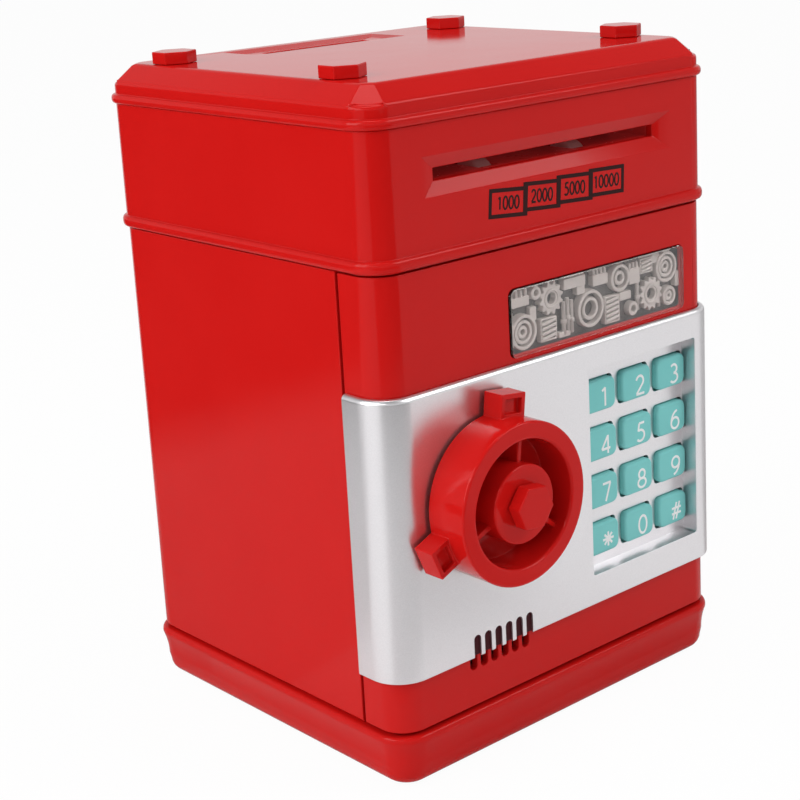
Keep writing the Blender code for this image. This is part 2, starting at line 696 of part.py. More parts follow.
def build_top_cover():
    bead = half_round(COVER_LOW, TOP_BEAD_HEIGHT, TOP_BEAD_OUT)
    cover = stack(HOUSING_X, HOUSING_Y, CORNER_RADIUS, bead + [(HIP_LOW, 0), (TOP, -HIP_INSET)])
    hip_rise = (CEILING - HIP_LOW + PAST) * HIP_INSET / HIP_HEIGHT
    inside = [(COVER_LOW - PAST, -WALL), (HIP_LOW - PAST, -WALL), (CEILING, -WALL - hip_rise)]
    cover = cut(cover, stack(HOUSING_X, HOUSING_Y, CORNER_RADIUS, inside))
    lip_out = WALL + RUNNING
    in_wall = WALL - LIP_WALL / 2
    profile = [
        (COVER_LOW - LIP_HEIGHT, -lip_out),
        (COVER_LOW, -lip_out),
        (COVER_LOW + LIP_WALL / 2, -in_wall),
        (COVER_LOW + LIP_HEIGHT, -in_wall),
    ]
    lip = stack(HOUSING_X, HOUSING_Y, CORNER_RADIUS, profile)
    inset = lip_out + LIP_WALL
    hole = rounded_rect(HOUSING_X - inset, HOUSING_Y - inset, CORNER_RADIUS - inset)
    cover = join(cover, cut(lip, prism(hole, COVER_LOW - 2 * LIP_HEIGHT, COVER_LOW + 2 * LIP_HEIGHT)))
    small_x, small_y = COIN_DISH_X - COIN_DISH_SLOPE, COIN_DISH_Y - COIN_DISH_SLOPE
    dish_low = rectangle(-small_x, small_x, COIN_Y - small_y, COIN_Y + small_y)
    dish_high = rectangle(-COIN_DISH_X, COIN_DISH_X, COIN_Y - COIN_DISH_Y, COIN_Y + COIN_DISH_Y)
    dish = loft([(dish_low, TOP - COIN_DISH_DEPTH), (dish_high, TOP), (dish_high, TOP + PAST)])
    half_slit = COIN_WIDTH / 2
    below, above = CEILING - PAST, TOP + PAST
    slit = box(-COIN_HALF, COIN_HALF, COIN_Y - half_slit, COIN_Y + half_slit, below, above)
    holes = [cylinder(BOLT_SHANK + RUNNING, below, above, "Z", p) for p in bolt_places()]
    finish(cut(cover, dish, slit, *holes), "top_cover", RED)
    head = BOLT_FLATS / math.sqrt(3)
    low = TOP + SEAT
    for i, spot in enumerate(bolt_places()):
        bolt = prism(circle(head, spot, 6, math.pi / 2), low, low + BOLT_HEIGHT)
        shank = cylinder(BOLT_SHANK, CEILING - BOLT_BELOW, low + PAST, "Z", spot)
        finish(join(bolt, shank), f"corner_bolt_{i + 1}", RED)


# Door


def vent_slots(near, far):
    """Upright round-ended slots, cut along Y."""
    half = VENT_WIDTH / 2
    middle = (VENT_LOW + VENT_TOP) / 2
    reach = (VENT_TOP - VENT_LOW) / 2
    places = [VENT_X + VENT_PITCH * (i - (VENT_COUNT - 1) / 2) for i in range(VENT_COUNT)]
    bend = VENT_ROUND * half
    return [prism(soft_rect(half, reach, bend, (x, middle)), near, far, "Y") for x in places]


def boss_places():
    return [(x, z) for x in BOSS_X for z in BOSS_Z]


def build_door_shell():
    door = prism(rounded_rect(HALF_X, HALF_Y, CORNER_RADIUS), DOOR_LOW, DOOR_TOP)
    inner = rounded_rect(HALF_X - DOOR_WALL, HALF_Y - DOOR_WALL, CORNER_RADIUS - DOOR_WALL)
    door = cut(
        door,
        prism(inner, DOOR_LOW + DOOR_RIM, DOOR_TOP - DOOR_RIM),
        box(-FAR, FAR, DOOR_REAR, FAR, 0, FAR),
    )
    hinge = (HINGE_X, HINGE_Y)
    door = join(
        door,
        cylinder(PIN_RADIUS, DOOR_TOP - DOOR_RIM / 2, DOOR_TOP + PIN_LENGTH, "Z", hinge),
        cylinder(PIN_RADIUS, DOOR_LOW - PIN_LENGTH, DOOR_LOW + DOOR_RIM / 2, "Z", hinge),
        *[cylinder(BOSS_RADIUS, DOOR_INNER - PAST, BACK_FRONT - SEAT, "Y", b) for b in boss_places()],
    )
    tub_x, tub_z = TUB_X + SEAT, TUB_Z + SEAT
    centre = (WINDOW_X, WINDOW_Z)
    lens = soft_rect(WINDOW_HALF_X + SEAT, WINDOW_HALF_Z + SEAT, WINDOW_RADIUS + SEAT, centre)
    ledge = soft_rect(WINDOW_HALF_X - LEDGE_WIDTH, WINDOW_HALF_Z - LEDGE_WIDTH, LEDGE_RADIUS, centre)
    near, far = DOOR_FRONT - PAST, DOOR_INNER + FREE
    door = cut(
        door,
        box(KEYPAD_X - tub_x, KEYPAD_X + tub_x, near, far, KEYPAD_Z - tub_z, KEYPAD_Z + tub_z),
        prism(lens, near, DOOR_FRONT + LEDGE_DEPTH, "Y"),
        prism(ledge, near, far, "Y"),
        cylinder(SHAFT_ROOM, near, far, "Y", (DIAL_X, DIAL_Z)),
        *vent_slots(near, far),
        *[cylinder(BORE_RADIUS, DOOR_INNER + BOSS_FLOOR, BACK_REAR, "Y", b) for b in boss_places()],
    )
    finish(door, "door_shell", RED, (HINGE_X, HINGE_Y, DOOR_LOW))


def build_front_panel():
    profile = [(PANEL_LOW, 0), (PANEL_TOP - PANEL_CHAMFER, 0), (PANEL_TOP, -PANEL_CHAMFER)]
    grown = PANEL_PROUD
    panel = stack(HALF_X + grown, HALF_Y + grown, CORNER_RADIUS + grown, profile)
    inner = rounded_rect(HALF_X + SEAT, HALF_Y + SEAT, CORNER_RADIUS + SEAT)
    panel = cut(panel, prism(inner, 0, FAR), box(-FAR, FAR, PANEL_REAR, FAR, 0, FAR))
    low, high = KEYPAD_Z - TUB_Z, KEYPAD_Z + TUB_Z
    in_wall = (PANEL_FRONT + DOOR_FRONT - SEAT) / 2
    tub = box(KEYPAD_X - TUB_X, KEYPAD_X + TUB_X, in_wall, BOARD_FRONT - SEAT, low, high)
    x0, x1 = KEYPAD_X - KEYPAD_HALF_X, KEYPAD_X + KEYPAD_HALF_X
    z0, z1 = KEYPAD_Z - KEYPAD_HALF_Z, KEYPAD_Z + KEYPAD_HALF_Z
    floor_rear = TUB_FRONT + TUB_FLOOR
    hole_x, hole_z = KEY_HALF_X + KEY_GAP, KEY_HALF_Z + KEY_GAP
    key_holes = [
        soft_rect(hole_x, hole_z, KEY_RADIUS + KEY_GAP, key_place(row, column))
        for row, names in enumerate(KEY_NAMES)
        for column in range(len(names))
    ]
    panel = cut(
        join(panel, tub),
        box(x0, x1, PANEL_FRONT - PAST, TUB_FRONT, z0, z1),
        box(x0, x1, floor_rear, 0, z0, z1),
        *[prism(hole, TUB_FRONT - PAST, floor_rear + PAST, "Y") for hole in key_holes],
        cylinder(SHAFT_ROOM, PANEL_FRONT - PAST, DOOR_FRONT + PAST, "Y", (DIAL_X, DIAL_Z)),
        *vent_slots(PANEL_FRONT - PAST, DOOR_FRONT),
    )
    finish(panel, "front_panel", SILVER)


def build_window():
    centre = (WINDOW_X, WINDOW_Z)
    front = DOOR_FRONT - LENS_PROUD
    rim = soft_rect(WINDOW_HALF_X, WINDOW_HALF_Z, WINDOW_RADIUS, centre)
    face_x, face_z = WINDOW_HALF_X - LENS_BEVEL, WINDOW_HALF_Z - LENS_BEVEL
    face = soft_rect(face_x, face_z, WINDOW_RADIUS - LENS_BEVEL, centre)
    seat = DOOR_FRONT + LEDGE_DEPTH - SEAT
    lens = loft([(rim, seat), (rim, front + LENS_BEVEL), (face, front)], "Y")
    finish(lens, "window_lens", CLEAR)

    half_x, half_z = WINDOW_HALF_X + RELIEF_MARGIN, WINDOW_HALF_Z + RELIEF_MARGIN
    back = DOOR_INNER + SEAT
    plate = prism(soft_rect(half_x, half_z, RELIEF_RADIUS, centre), back, back + RELIEF_THICK, "Y")
    crest = DOOR_FRONT + LEDGE_DEPTH + SEAT
    root = back + RELIEF_THICK / 2
    span = WINDOW_HALF_X - 2 * LEDGE_WIDTH
    low, high = WINDOW_Z - RELIEF_BAR_REACH, WINDOW_Z + RELIEF_BAR_REACH
    discs = [
        cylinder(radius, crest + drop, root, "Y", (WINDOW_X + share * span, WINDOW_Z))
        for radius, drop, share in RELIEF_DISCS
    ]
    bars = [
        box(x - RELIEF_BAR, x + RELIEF_BAR, crest + FREE, root, low, high)
        for x in (WINDOW_X + share * span for share in RELIEF_BARS)
    ]
    finish(join(plate, *discs, *bars), "relief_plate", BEIGE)


# Keypad


def key_place(row, column):
    x = KEYPAD_X + KEYS_RIGHT + KEY_PITCH_X * (column - 1)
    z = KEYPAD_Z - KEYS_DOWN + KEY_PITCH_Z * (1.5 - row)
    return x, z


def build_keypad():
    foot = FLANGE_FRONT + KEY_FLANGE_THICK
    for row, names in enumerate(KEY_NAMES):
        for column, label in enumerate(names):
            place = key_place(row, column)
            cap = soft_rect(KEY_HALF_X, KEY_HALF_Z, KEY_RADIUS, place)
            top = soft_rect(KEY_HALF_X - KEY_EDGE, KEY_HALF_Z - KEY_EDGE, KEY_RADIUS - KEY_EDGE, place)
            flange = soft_rect(KEY_HALF_X - KEY_FLANGE_IN, KEY_HALF_Z + KEY_FLANGE, KEY_RADIUS, place)
            sections = [
                (flange, foot),
                (flange, FLANGE_FRONT),
                (cap, FLANGE_FRONT),
                (cap, KEY_FRONT + KEY_EDGE),
                (top, KEY_FRONT),
            ]
            finish(loft(sections, "Y"), f"key_{label}", AQUA, (place[0], KEY_FRONT, place[1]))
    centre = (KEYPAD_X, KEYPAD_Z)
    mat = soft_rect(KEYPAD_HALF_X - SEAT, KEYPAD_HALF_Z - SEAT, LEDGE_RADIUS, centre)
    finish(prism(mat, MAT_FRONT, MAT_FRONT + MAT_THICK, "Y"), "keypad_mat", DARK_RUBBER)
    board = soft_rect(TUB_X, TUB_Z, LEDGE_RADIUS, centre)
    finish(prism(board, BOARD_FRONT, BOARD_FRONT + BOARD_THICK, "Y"), "keypad_board", BOARD_GREEN)


# Dial, lock and latch


def dial_wheel(outline, near, far):
    """Dial feature drawn about the dial's own centre, turned to its place."""
    return prism(turned_points(outline, DIAL_TURN, (DIAL_X, DIAL_Z)), near, far, "Y")


def spoke_outline(r0, r1, half, angle):
    return turned_points(rectangle(r0, r1, -half, half), angle, (0.0, 0.0))


def build_dial():
    centre = (DIAL_X, DIAL_Z)
    rear = PANEL_FRONT - DIAL_GAP
    front = PANEL_FRONT - DIAL_HEIGHT
    floor = rear - DIAL_BACK
    in_floor = rear - DIAL_BACK / 2
    angles = [math.pi / 2 + 2 * math.pi * i / LUG_COUNT for i in range(LUG_COUNT)]
    knob = cylinder(DIAL_RADIUS, front, rear, "Y", centre)
    knob = cut(knob, cylinder(DIAL_INNER, front - PAST, floor, "Y", centre))
    lug_front = rear - LUG_HEIGHT
    ring_mid = (DIAL_RADIUS + DIAL_INNER) / 2
    hub_mid = HUB_RADIUS - WEB_IN_HUB
    lugs = [spoke_outline(ring_mid, LUG_TIP, LUG_HALF, a) for a in angles]
    webs = [spoke_outline(hub_mid, ring_mid, WEB_THICK / 2, a) for a in angles]
    knob = join(
        knob,
        cylinder(HUB_RADIUS, front + HUB_SUNK, in_floor, "Y", centre),
        *[dial_wheel(lug, lug_front, rear) for lug in lugs],
        *[dial_wheel(web, front + WEB_SUNK, in_floor) for web in webs],
    )
    pocket_half = LUG_HALF - LUG_RIM
    pockets = [spoke_outline(DIAL_RADIUS + LUG_RIM / 2, LUG_TIP - LUG_RIM, pocket_half, a) for a in angles]
    knob = cut(
        knob,
        *[dial_wheel(pocket, lug_front - PAST, lug_front + LUG_POCKET) for pocket in pockets],
        cylinder(SHAFT_BORE, rear - SHAFT_IN_HUB, rear + PAST, "Y", centre),
    )
    axis_point = (DIAL_X, rear, DIAL_Z)
    finish(knob, "dial_knob", RED, axis_point)

    nut_rear = front + HUB_SUNK - SEAT
    hexagon = circle(NUT_FLATS / math.sqrt(3), (0.0, 0.0), 6, 0.0)
    finish(dial_wheel(hexagon, nut_rear - NUT_HEIGHT, nut_rear), "dial_nut", RED, axis_point)

    shaft = cylinder(SHAFT_RADIUS, rear - SHAFT_IN_HUB + SEAT, SHAFT_END, "Y", centre)
    finish(shaft, "dial_shaft", STEEL, axis_point)

    disc_rear = DISC_FRONT + DISC_THICK
    notch_half = PLUNGER_RADIUS + RUNNING
    notch = rectangle(NOTCH_FLOOR, DISC_RADIUS + PAST, -notch_half, notch_half)
    notches = [turned_points(notch, angle, centre) for angle in (-math.pi / 2, 0.0)]
    disc = cut(
        cylinder(DISC_RADIUS, DISC_FRONT, disc_rear, "Y", centre),
        cylinder(SHAFT_BORE, DISC_FRONT - PAST, disc_rear + PAST, "Y", centre),
        *[prism(n, DISC_FRONT - PAST, disc_rear + PAST, "Y") for n in notches],
    )
    finish(disc, "lock_disc", NYLON, axis_point)

    x0, x1 = DIAL_X - TONGUE_HALF, DIAL_X + TONGUE_HALF
    arm = box(x0, x1, TONGUE_FRONT, TONGUE_REAR, DIAL_Z - TONGUE_LENGTH, DIAL_Z)
    hub = cylinder(TONGUE_HUB, BACK_REAR + SEAT, TONGUE_REAR, "Y", centre)
    tongue = cut(join(hub, arm), cylinder(SHAFT_BORE, BACK_REAR, TONGUE_REAR + PAST, "Y", centre))
    finish(tongue, "latch_tongue", STEEL, axis_point)

    ring_rear = RING_FRONT + RING_THICK
    ring = cut(
        cylinder(TONGUE_HUB, RING_FRONT, ring_rear, "Y", centre),
        cylinder(SHAFT_BORE, RING_FRONT - PAST, ring_rear + PAST, "Y", centre),
    )
    finish(ring, "shaft_ring", STEEL, axis_point)


def build_lock():
    """Solenoid under the lock disc; its plunger rises into a notch to hold the dial."""
    mid_y = DISC_FRONT + DISC_THICK / 2
    tip = DIAL_Z - DISC_RADIUS - PLUNGER_GAP
    case_top = tip - PLUNGER_TRAVEL - PAST
    front = DOOR_INNER + SEAT
    rear = front + 2 * (mid_y - front)
    x0, x1 = DIAL_X - SOLENOID_HALF, DIAL_X + SOLENOID_HALF
    case = box(x0, x1, front, rear, case_top - SOLENOID_HEIGHT, case_top)
    room = PLUNGER_RADIUS + SEAT
    foot = tip - PLUNGER_LENGTH
    case = cut(case, cylinder(room, foot - PAST, case_top + PAST, "Z", (DIAL_X, mid_y)))
    finish(case, "lock_solenoid", STEEL)
    plunger = cylinder(PLUNGER_RADIUS, foot, tip, "Z", (DIAL_X, mid_y))
    finish(plunger, "lock_plunger", STEEL, (DIAL_X, mid_y, tip))


def build_door_inside():
    front = DOOR_INNER + SEAT
    rim, cone = front + SPEAKER_RIM, front + SPEAKER_CONE
    rear = BACK_FRONT - SEAT
    radii = (SPEAKER_MAGNET, SPEAKER_MAGNET, SPEAKER_RADIUS, SPEAKER_RADIUS)
    profile = list(zip(radii, (rear, cone, rim, front)))
    finish(turned(profile, "Y", (VENT_X, SPEAKER_Z)), "speaker", BLACK)

    half_x = HALF_X - DOOR_WALL - SEAT
    low, high = DOOR_LOW + DOOR_RIM + SEAT, DOOR_TOP - DOOR_RIM - SEAT
    near, far = BACK_FRONT - PAST, BACK_REAR + PAST
    cover = cut(
        box(-half_x, half_x, BACK_FRONT, BACK_REAR, low, high),
        cylinder(SHAFT_ROOM, near, far, "Y", (DIAL_X, DIAL_Z)),
        *[cylinder(BORE_RADIUS, near, far, "Y", b) for b in boss_places()],
    )
    finish(cover, "door_back_cover", RED)
    head_face = BACK_REAR + SEAT + SCREW_HEAD_THICK
    for i, spot in enumerate(boss_places()):
        finish(pan_screw(spot, head_face), f"door_cover_screw_{i + 1}", STEEL)


# Feeder


def gear_outline(teeth, turn):
    """Toothed outline about the origin: straight-sided teeth, thinned for running clearance."""
    pitch = GEAR_MODULE * teeth / 2
    heights = (pitch - TOOTH_ROOT * GEAR_MODULE, pitch, pitch + TOOTH_TIP * GEAR_MODULE)
    step = 2 * math.pi / teeth
    rising = [(radius, -share) for radius, share in zip(heights, TOOTH_SHAPE)]
    falling = [(radius, -share) for radius, share in reversed(rising)]
    points = []
    for i in range(teeth):
        for radius, share in rising + falling:
            angle = turn + (i + share) * step
            points.append((radius * math.cos(angle), radius * math.sin(angle)))
    return points


def gear(teeth, centre, bore, turn):
    outline = [(centre[0] + u, centre[1] + v) for u, v in gear_outline(teeth, turn)]
    body = prism(outline, GEAR_X, GEAR_END, "X")
    return cut(body, cylinder(bore, GEAR_X - PAST, GEAR_END + PAST, "X", centre))


def build_feeder_frame(drive, pinch, motor):
    low = HOUSING_FLOOR + SEAT
    bar_top = low + CROSSBAR_THICK
    bar_half = CHEEK_X + CHEEK_THICK / 2
    frame = join(
        box(-CHEEK_OUT, -CHEEK_X, CHEEK_FRONT, CHEEK_REAR, low, CHEEK_TOP),
        box(-bar_half, bar_half, CHEEK_FRONT, CHEEK_FRONT + CROSSBAR_WIDTH, low, bar_top),
        box(-bar_half, bar_half, CHEEK_REAR - CROSSBAR_WIDTH, CHEEK_REAR, low, bar_top),
        box(CHEEK_X, CHEEK_OUT, CHEEK_FRONT, CHEEK_REAR, low, CHEEK_TOP),
    )
    frame = cut(
        frame,
        cylinder(FEED_SHAFT + RUNNING, -FAR, FAR, "X", drive),
        cylinder(FEED_SHAFT + RUNNING, -FAR, FAR, "X", pinch),
        cylinder(MOTOR_SHAFT + FREE, 0, FAR, "X", motor),
    )
    finish(frame, "feeder_frame", BLACK)


def build_feeder():
    drive, pinch, motor = (FEED_Y, DRIVE_Z), (FEED_Y, PINCH_Z), (MOTOR_Y, MOTOR_Z)
    on_drive, on_pinch, on_motor = (0.0, *drive), (0.0, *pinch), (0.0, *motor)
    build_feeder_frame(drive, pinch, motor)

    left = -CHEEK_OUT - SHAFT_PROUD
    drive_shaft = cylinder(FEED_SHAFT, left, GEAR_END + PAST, "X", drive)
    finish(drive_shaft, "drive_shaft", STEEL, on_drive)
    pinch_shaft = cylinder(FEED_SHAFT, left, CHEEK_OUT + FREE, "X", pinch)
    finish(pinch_shaft, "pinch_shaft", STEEL, on_pinch)
    for label, centre in (("drive", drive), ("pinch", pinch)):
        for i, x in enumerate((-ROLLER_X, ROLLER_X)):
            low, high = x - ROLLER_HALF, x + ROLLER_HALF
            roller = cut(
                cylinder(ROLLER_RADIUS, low, high, "X", centre),
                cylinder(FEED_SHAFT + SEAT, low - PAST, high + PAST, "X", centre),
            )
            finish(roller, f"{label}_roller_{i + 1}", RUBBER, (0.0, *centre))

    toward = math.atan2(DRIVE_Z - MOTOR_Z, FEED_Y - MOTOR_Y)
    facing = toward + math.pi + math.pi / GEAR_TEETH
    wheel = gear(GEAR_TEETH, drive, FEED_SHAFT + SEAT, facing)
    finish(wheel, "drive_gear", NYLON, on_drive)
    pinion = gear(PINION_TEETH, motor, MOTOR_SHAFT + SEAT, toward)
    finish(pinion, "motor_pinion", NYLON, on_motor)

    right = CHEEK_X - SEAT
    body = cylinder(MOTOR_RADIUS, right - MOTOR_LENGTH, right, "X", motor)
    body = cut(
        body,
        box(-FAR, FAR, -FAR, FAR, MOTOR_Z + MOTOR_FLAT, FAR),
        box(-FAR, FAR, -FAR, FAR, 0, MOTOR_Z - MOTOR_FLAT),
    )
    body = join(body, cylinder(MOTOR_SHAFT, right - PAST, GEAR_END - FREE, "X", motor))
    finish(body, "feed_motor", STEEL)


def build_control_board():
    low = HOUSING_FLOOR + BOARD_LIFT + SEAT
    top = low + BOARD_THICK
    in_board = low + BOARD_THICK / 2
    x0, x1 = BOARD_X - BOARD_HALF_X, BOARD_X + BOARD_HALF_X
    y0, y1 = BOARD_Y - BOARD_HALF_Y, BOARD_Y + BOARD_HALF_Y
    chip_half = BOARD_HALF_X / 2
    chip_x0, chip_x1 = BOARD_X - chip_half, BOARD_X + chip_half
    chip_y0, chip_y1 = BOARD_Y - CHIP_REACH, BOARD_Y + CHIP_REACH / 2
    capacitor = (BOARD_X, BOARD_Y + BOARD_HALF_Y / 2)
    board = join(
        box(x0, x1, y0, y1, low, top),
        box(chip_x0, chip_x1, chip_y0, chip_y1, in_board, top + CHIP_HEIGHT),
        cylinder(CAPACITOR_RADIUS, in_board, top + CAPACITOR_HEIGHT, "Z", capacitor),
    )
    finish(board, "control_board", BOARD_GREEN)


build_base()
build_rear_case()
build_upper_housing()
build_top_cover()
build_door_shell()
build_front_panel()
build_window()
build_keypad()
build_dial()
build_lock()
build_door_inside()
build_feeder()
build_control_board()
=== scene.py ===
"""Looks of a toy cash-machine savings bank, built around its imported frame.

Shapes are drawn in millimetres and scaled to metres when a piece is finished. +Z is up and the
front faces -Y, as in the frame.
"""

import math

import bmesh
import bpy
from mathutils import Matrix, Vector


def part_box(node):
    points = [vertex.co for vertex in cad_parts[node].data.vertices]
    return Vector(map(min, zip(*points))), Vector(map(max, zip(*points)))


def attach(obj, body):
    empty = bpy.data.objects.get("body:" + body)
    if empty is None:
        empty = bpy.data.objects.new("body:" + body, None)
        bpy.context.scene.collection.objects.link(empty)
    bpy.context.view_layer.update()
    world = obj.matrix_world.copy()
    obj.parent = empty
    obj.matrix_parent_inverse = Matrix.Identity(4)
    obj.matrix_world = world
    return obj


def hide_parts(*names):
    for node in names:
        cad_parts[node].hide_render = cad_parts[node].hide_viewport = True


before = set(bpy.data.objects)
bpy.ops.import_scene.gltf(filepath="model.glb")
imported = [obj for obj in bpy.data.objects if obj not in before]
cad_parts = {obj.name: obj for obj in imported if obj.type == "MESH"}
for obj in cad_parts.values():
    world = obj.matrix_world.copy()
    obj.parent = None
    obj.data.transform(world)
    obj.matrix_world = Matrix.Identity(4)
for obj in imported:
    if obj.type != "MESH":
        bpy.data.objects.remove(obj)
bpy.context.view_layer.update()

# Scale and fits in millimetres; cutters run PAST a face, and FAR lies beyond every piece
MM = 0.001
SEAT = 0.3
SEAM = 0.06
PAST = 1.0
FAR = 200.0

# Fineness of round outlines and of softened edges
CORNER_SEGMENTS = 14
SMALL_SEGMENTS = 5
ROUND_POINTS = 72
SMALL_POINTS = 32
EDGE_ANGLE = math.radians(25)
SHARP_ANGLE = math.radians(35)
EDGE_STEPS = 3
FEW_STEPS = 2
EDGE_WEIGHT = 60
WELD = 0.004


def node_box(node):
    """Lowest and highest corners of a node, in millimetres."""
    low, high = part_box(node)
    return low / MM, high / MM


def node_middle(node):
    low, high = node_box(node)
    return (low + high) / 2


def node_face(node):
    """Centre and half size of a node as seen from the front."""
    low, high = node_box(node)
    return ((low.x + high.x) / 2, (low.z + high.z) / 2), ((high.x - low.x) / 2, (high.z - low.z) / 2)


def wider(half, grown):
    """Half size grown on every side, or shrunk where negative."""
    return half[0] + grown, half[1] + grown


# Cabinet walls and their fits
CORNER_RADIUS = 8.0
WALL = 2.2
LIP_HEIGHT = 3.0
LIP_WALL = 1.6
LIP_GAP = 0.3
TONGUE_ROOM = 1.0
LIP_FRONT = node_box("latch_tongue")[1].y - TONGUE_ROOM
case_low, case_high = node_box("rear_case")
HALF_X, HALF_Y = case_high.x, case_high.y
BODY = (HALF_X, HALF_Y)
CASE_LOW, CASE_TOP = case_low.z, case_high.z
CASE_FRONT = case_low.y
CASE_CHAMFER = 0.8

# Base
tray_low, tray_high = node_box("base_tray")
BASE_BEAD_OUT = tray_high.x - HALF_X
BASE_FLANGE = 9.0
FLANGE_SWELL = 0.8
FLANGE_ROUND = (0.8, 0.7)
BASE_LOW = tray_low.z
BASE_TOP = CASE_LOW - SEAT
BASE_ROUND = 4.2
BASE_STEPS = 6
BASE_DRAFT = 0.4
BASE_WALL = 6.0
DECK = 2.2
DECK_LOW = BASE_TOP - DECK
HUMP_TOP = tray_high.z
lid_low, lid_high = node_box("battery_cover")
BAY_DEPTH = 44.0
BAY_WALL = 2.0

# Upper housing and top cover
MID_BEAD_OUT = 1.2
MID_BEAD_HEIGHT = 3.2
MID_BEAD_LIFT = 0.2
TOP_BEAD_OUT = 1.2
TOP_BEAD_HEIGHT = 2.6
housing_low, housing_high = node_box("upper_housing")
cover_low, cover_high = node_box("top_cover")
HOUSING = (housing_high.x - MID_BEAD_OUT, housing_high.y - MID_BEAD_OUT)
HOUSING_FRONT = -HOUSING[1]
HOUSING_LOW = housing_low.z + LIP_HEIGHT
FLOOR_THICK = 2.2
HOUSING_FLOOR = HOUSING_LOW + FLOOR_THICK
REST_HALF = 1.5
REST_IN = 2.0
COVER_LOW, TOP = cover_low.z + LIP_HEIGHT, cover_high.z
HIP_HEIGHT = 4.7
HIP_INSET = 5.6
HIP_SLOPE = HIP_INSET / HIP_HEIGHT
HIP_LOW = TOP - HIP_HEIGHT
COVER_SKIN = 2.4
CEILING = TOP - COVER_SKIN
FACET_LOW = 5.8
FACET_HIGH = 2.7
PLATE_ROUND = 0.6
HIP_END, PLATE_TURN = HIP_HEIGHT - PLATE_ROUND, HIP_HEIGHT - PLATE_ROUND / 3
BOLT_SHANK = 3.0

# Turns up the cover's hip: lift, inset, corner radius and how far the corner is a flat facet
HIP_TURNS = (
    (-0.9, 0.0, CORNER_RADIUS, 0.0),
    (-0.3, 0.06, CORNER_RADIUS - 1.0, 0.35),
    (0.0, 0.2, FACET_LOW + 0.7, 0.8),
    (0.3, 0.3 * HIP_SLOPE + 0.1, FACET_LOW, 1.0),
    (HIP_END, HIP_END * HIP_SLOPE, FACET_HIGH, 1.0),
    (PLATE_TURN, PLATE_TURN * HIP_SLOPE + 0.15, FACET_HIGH, 1.0),
    (HIP_HEIGHT, HIP_INSET + 0.7, FACET_HIGH, 1.0),
)

# Bill slot
SLOT_LIFT = 19.8
SLOT_Z = HOUSING_FLOOR + SLOT_LIFT
SLOT_IN = 21.8
SLOT_HALF = HALF_X - SLOT_IN
SLOT_HALF_Z = 1.6
SLOT_LOW, SLOT_HIGH = SLOT_Z - SLOT_HALF_Z, SLOT_Z + SLOT_HALF_Z
SLOT_DEPTH = 2.0
SLOT_RIM = 5.0
SLOT_RIM_LOW = 5.2
SLOT_BLOCK = 4.2
SLOT_BLOCK_EDGE = 1.2
GUIDE_THICK = 1.0
GUIDE_ROOM = 0.6
GUIDE_BEHIND = 6.0
GUIDE_REAR = node_middle("drive_shaft").y + GUIDE_BEHIND

# Opening under the housing
DROP_SIDE = 3.3
DROP_BEHIND = 5.0
DROP_IN = 11.2
DROP_HALF_X = SLOT_HALF + DROP_SIDE
DROP_FRONT = node_box("feeder_frame")[1].y + DROP_BEHIND
DROP_REAR = HALF_Y - DROP_IN

# Coin slit in the top
COIN_IN = 17.7
COIN = (0.0, HALF_Y - COIN_IN)
COIN_HALF = (19.2, 1.5)
COIN_DISH = (28.0, 8.0)
COIN_DISH_DEPTH = 0.8
COIN_DISH_SLOPE = 1.8

# Door and silver panel
door_low, door_high = node_box("door_shell")
panel_low, panel_high = node_box("front_panel")
PIN_LENGTH = 2.6
PIN_RADIUS = 1.5
DOOR_LOW, DOOR_TOP = door_low.z + PIN_LENGTH, door_high.z - PIN_LENGTH
DOOR_FRONT, DOOR_REAR = door_low.y, door_high.y
DOOR_WALL = 2.4
DOOR_RIM = 2.0
DOOR_INNER = DOOR_FRONT + DOOR_WALL
HINGE_IN = (4.0, 3.7)
HINGE = (HALF_X - HINGE_IN[0], DOOR_FRONT + HINGE_IN[1])
PANEL_FRONT = panel_low.y
PANEL_LOW, PANEL_TOP = panel_low.z, panel_high.z
PANEL_PROUD = DOOR_FRONT - PANEL_FRONT
PANEL_TOP_ROUND = (1.3, 1.5)
PANEL_TOP_STEPS = 6
PANEL_ROUND = 0.35
PANEL_NICK = 0.1
SWING_RADIUS = math.hypot(HALF_X - HINGE[0], DOOR_REAR - HINGE[1])
PANEL_REAR = HINGE[1] + math.sqrt(SWING_RADIUS**2 - (panel_high.x - HINGE[0]) ** 2)
SHAFT_ROOM = 3.5

# Vents
VENT_COUNT = 6
VENT_PITCH = 3.88
VENT_HALF = 1.25
VENT_ROUND = 0.98
VENT_SKIN = 0.7
VENT_ROOM = (0.6, 0.4)
VENT_ROOM_RADIUS = 1.0
# Sheet behind the vents that paints the shaded red door seen through them
SHADE_SHEET_GAP = 0.15
SHADE_SHEET_THICK = 0.3
VENT_DROP = 4.4
VENT_RISE = 6.3
VENT_X = node_middle("speaker").x
VENT_LOW, VENT_TOP = PANEL_LOW - VENT_DROP, PANEL_LOW + VENT_RISE
VENT_MIDDLE, VENT_REACH = (VENT_LOW + VENT_TOP) / 2, (VENT_TOP - VENT_LOW) / 2
VENT_SPAN = VENT_PITCH * VENT_COUNT / 2

# Window
lens_low, lens_high = node_box("window_lens")
WINDOW, WINDOW_HALF = node_face("window_lens")
WINDOW_RADIUS = 2.0
LENS_ROUND = 0.7
LENS_STEPS = 5
LEDGE_DEPTH = lens_high.y + SEAT - DOOR_FRONT
LEDGE_WIDTH = 0.8
LEDGE_RADIUS = 1.0

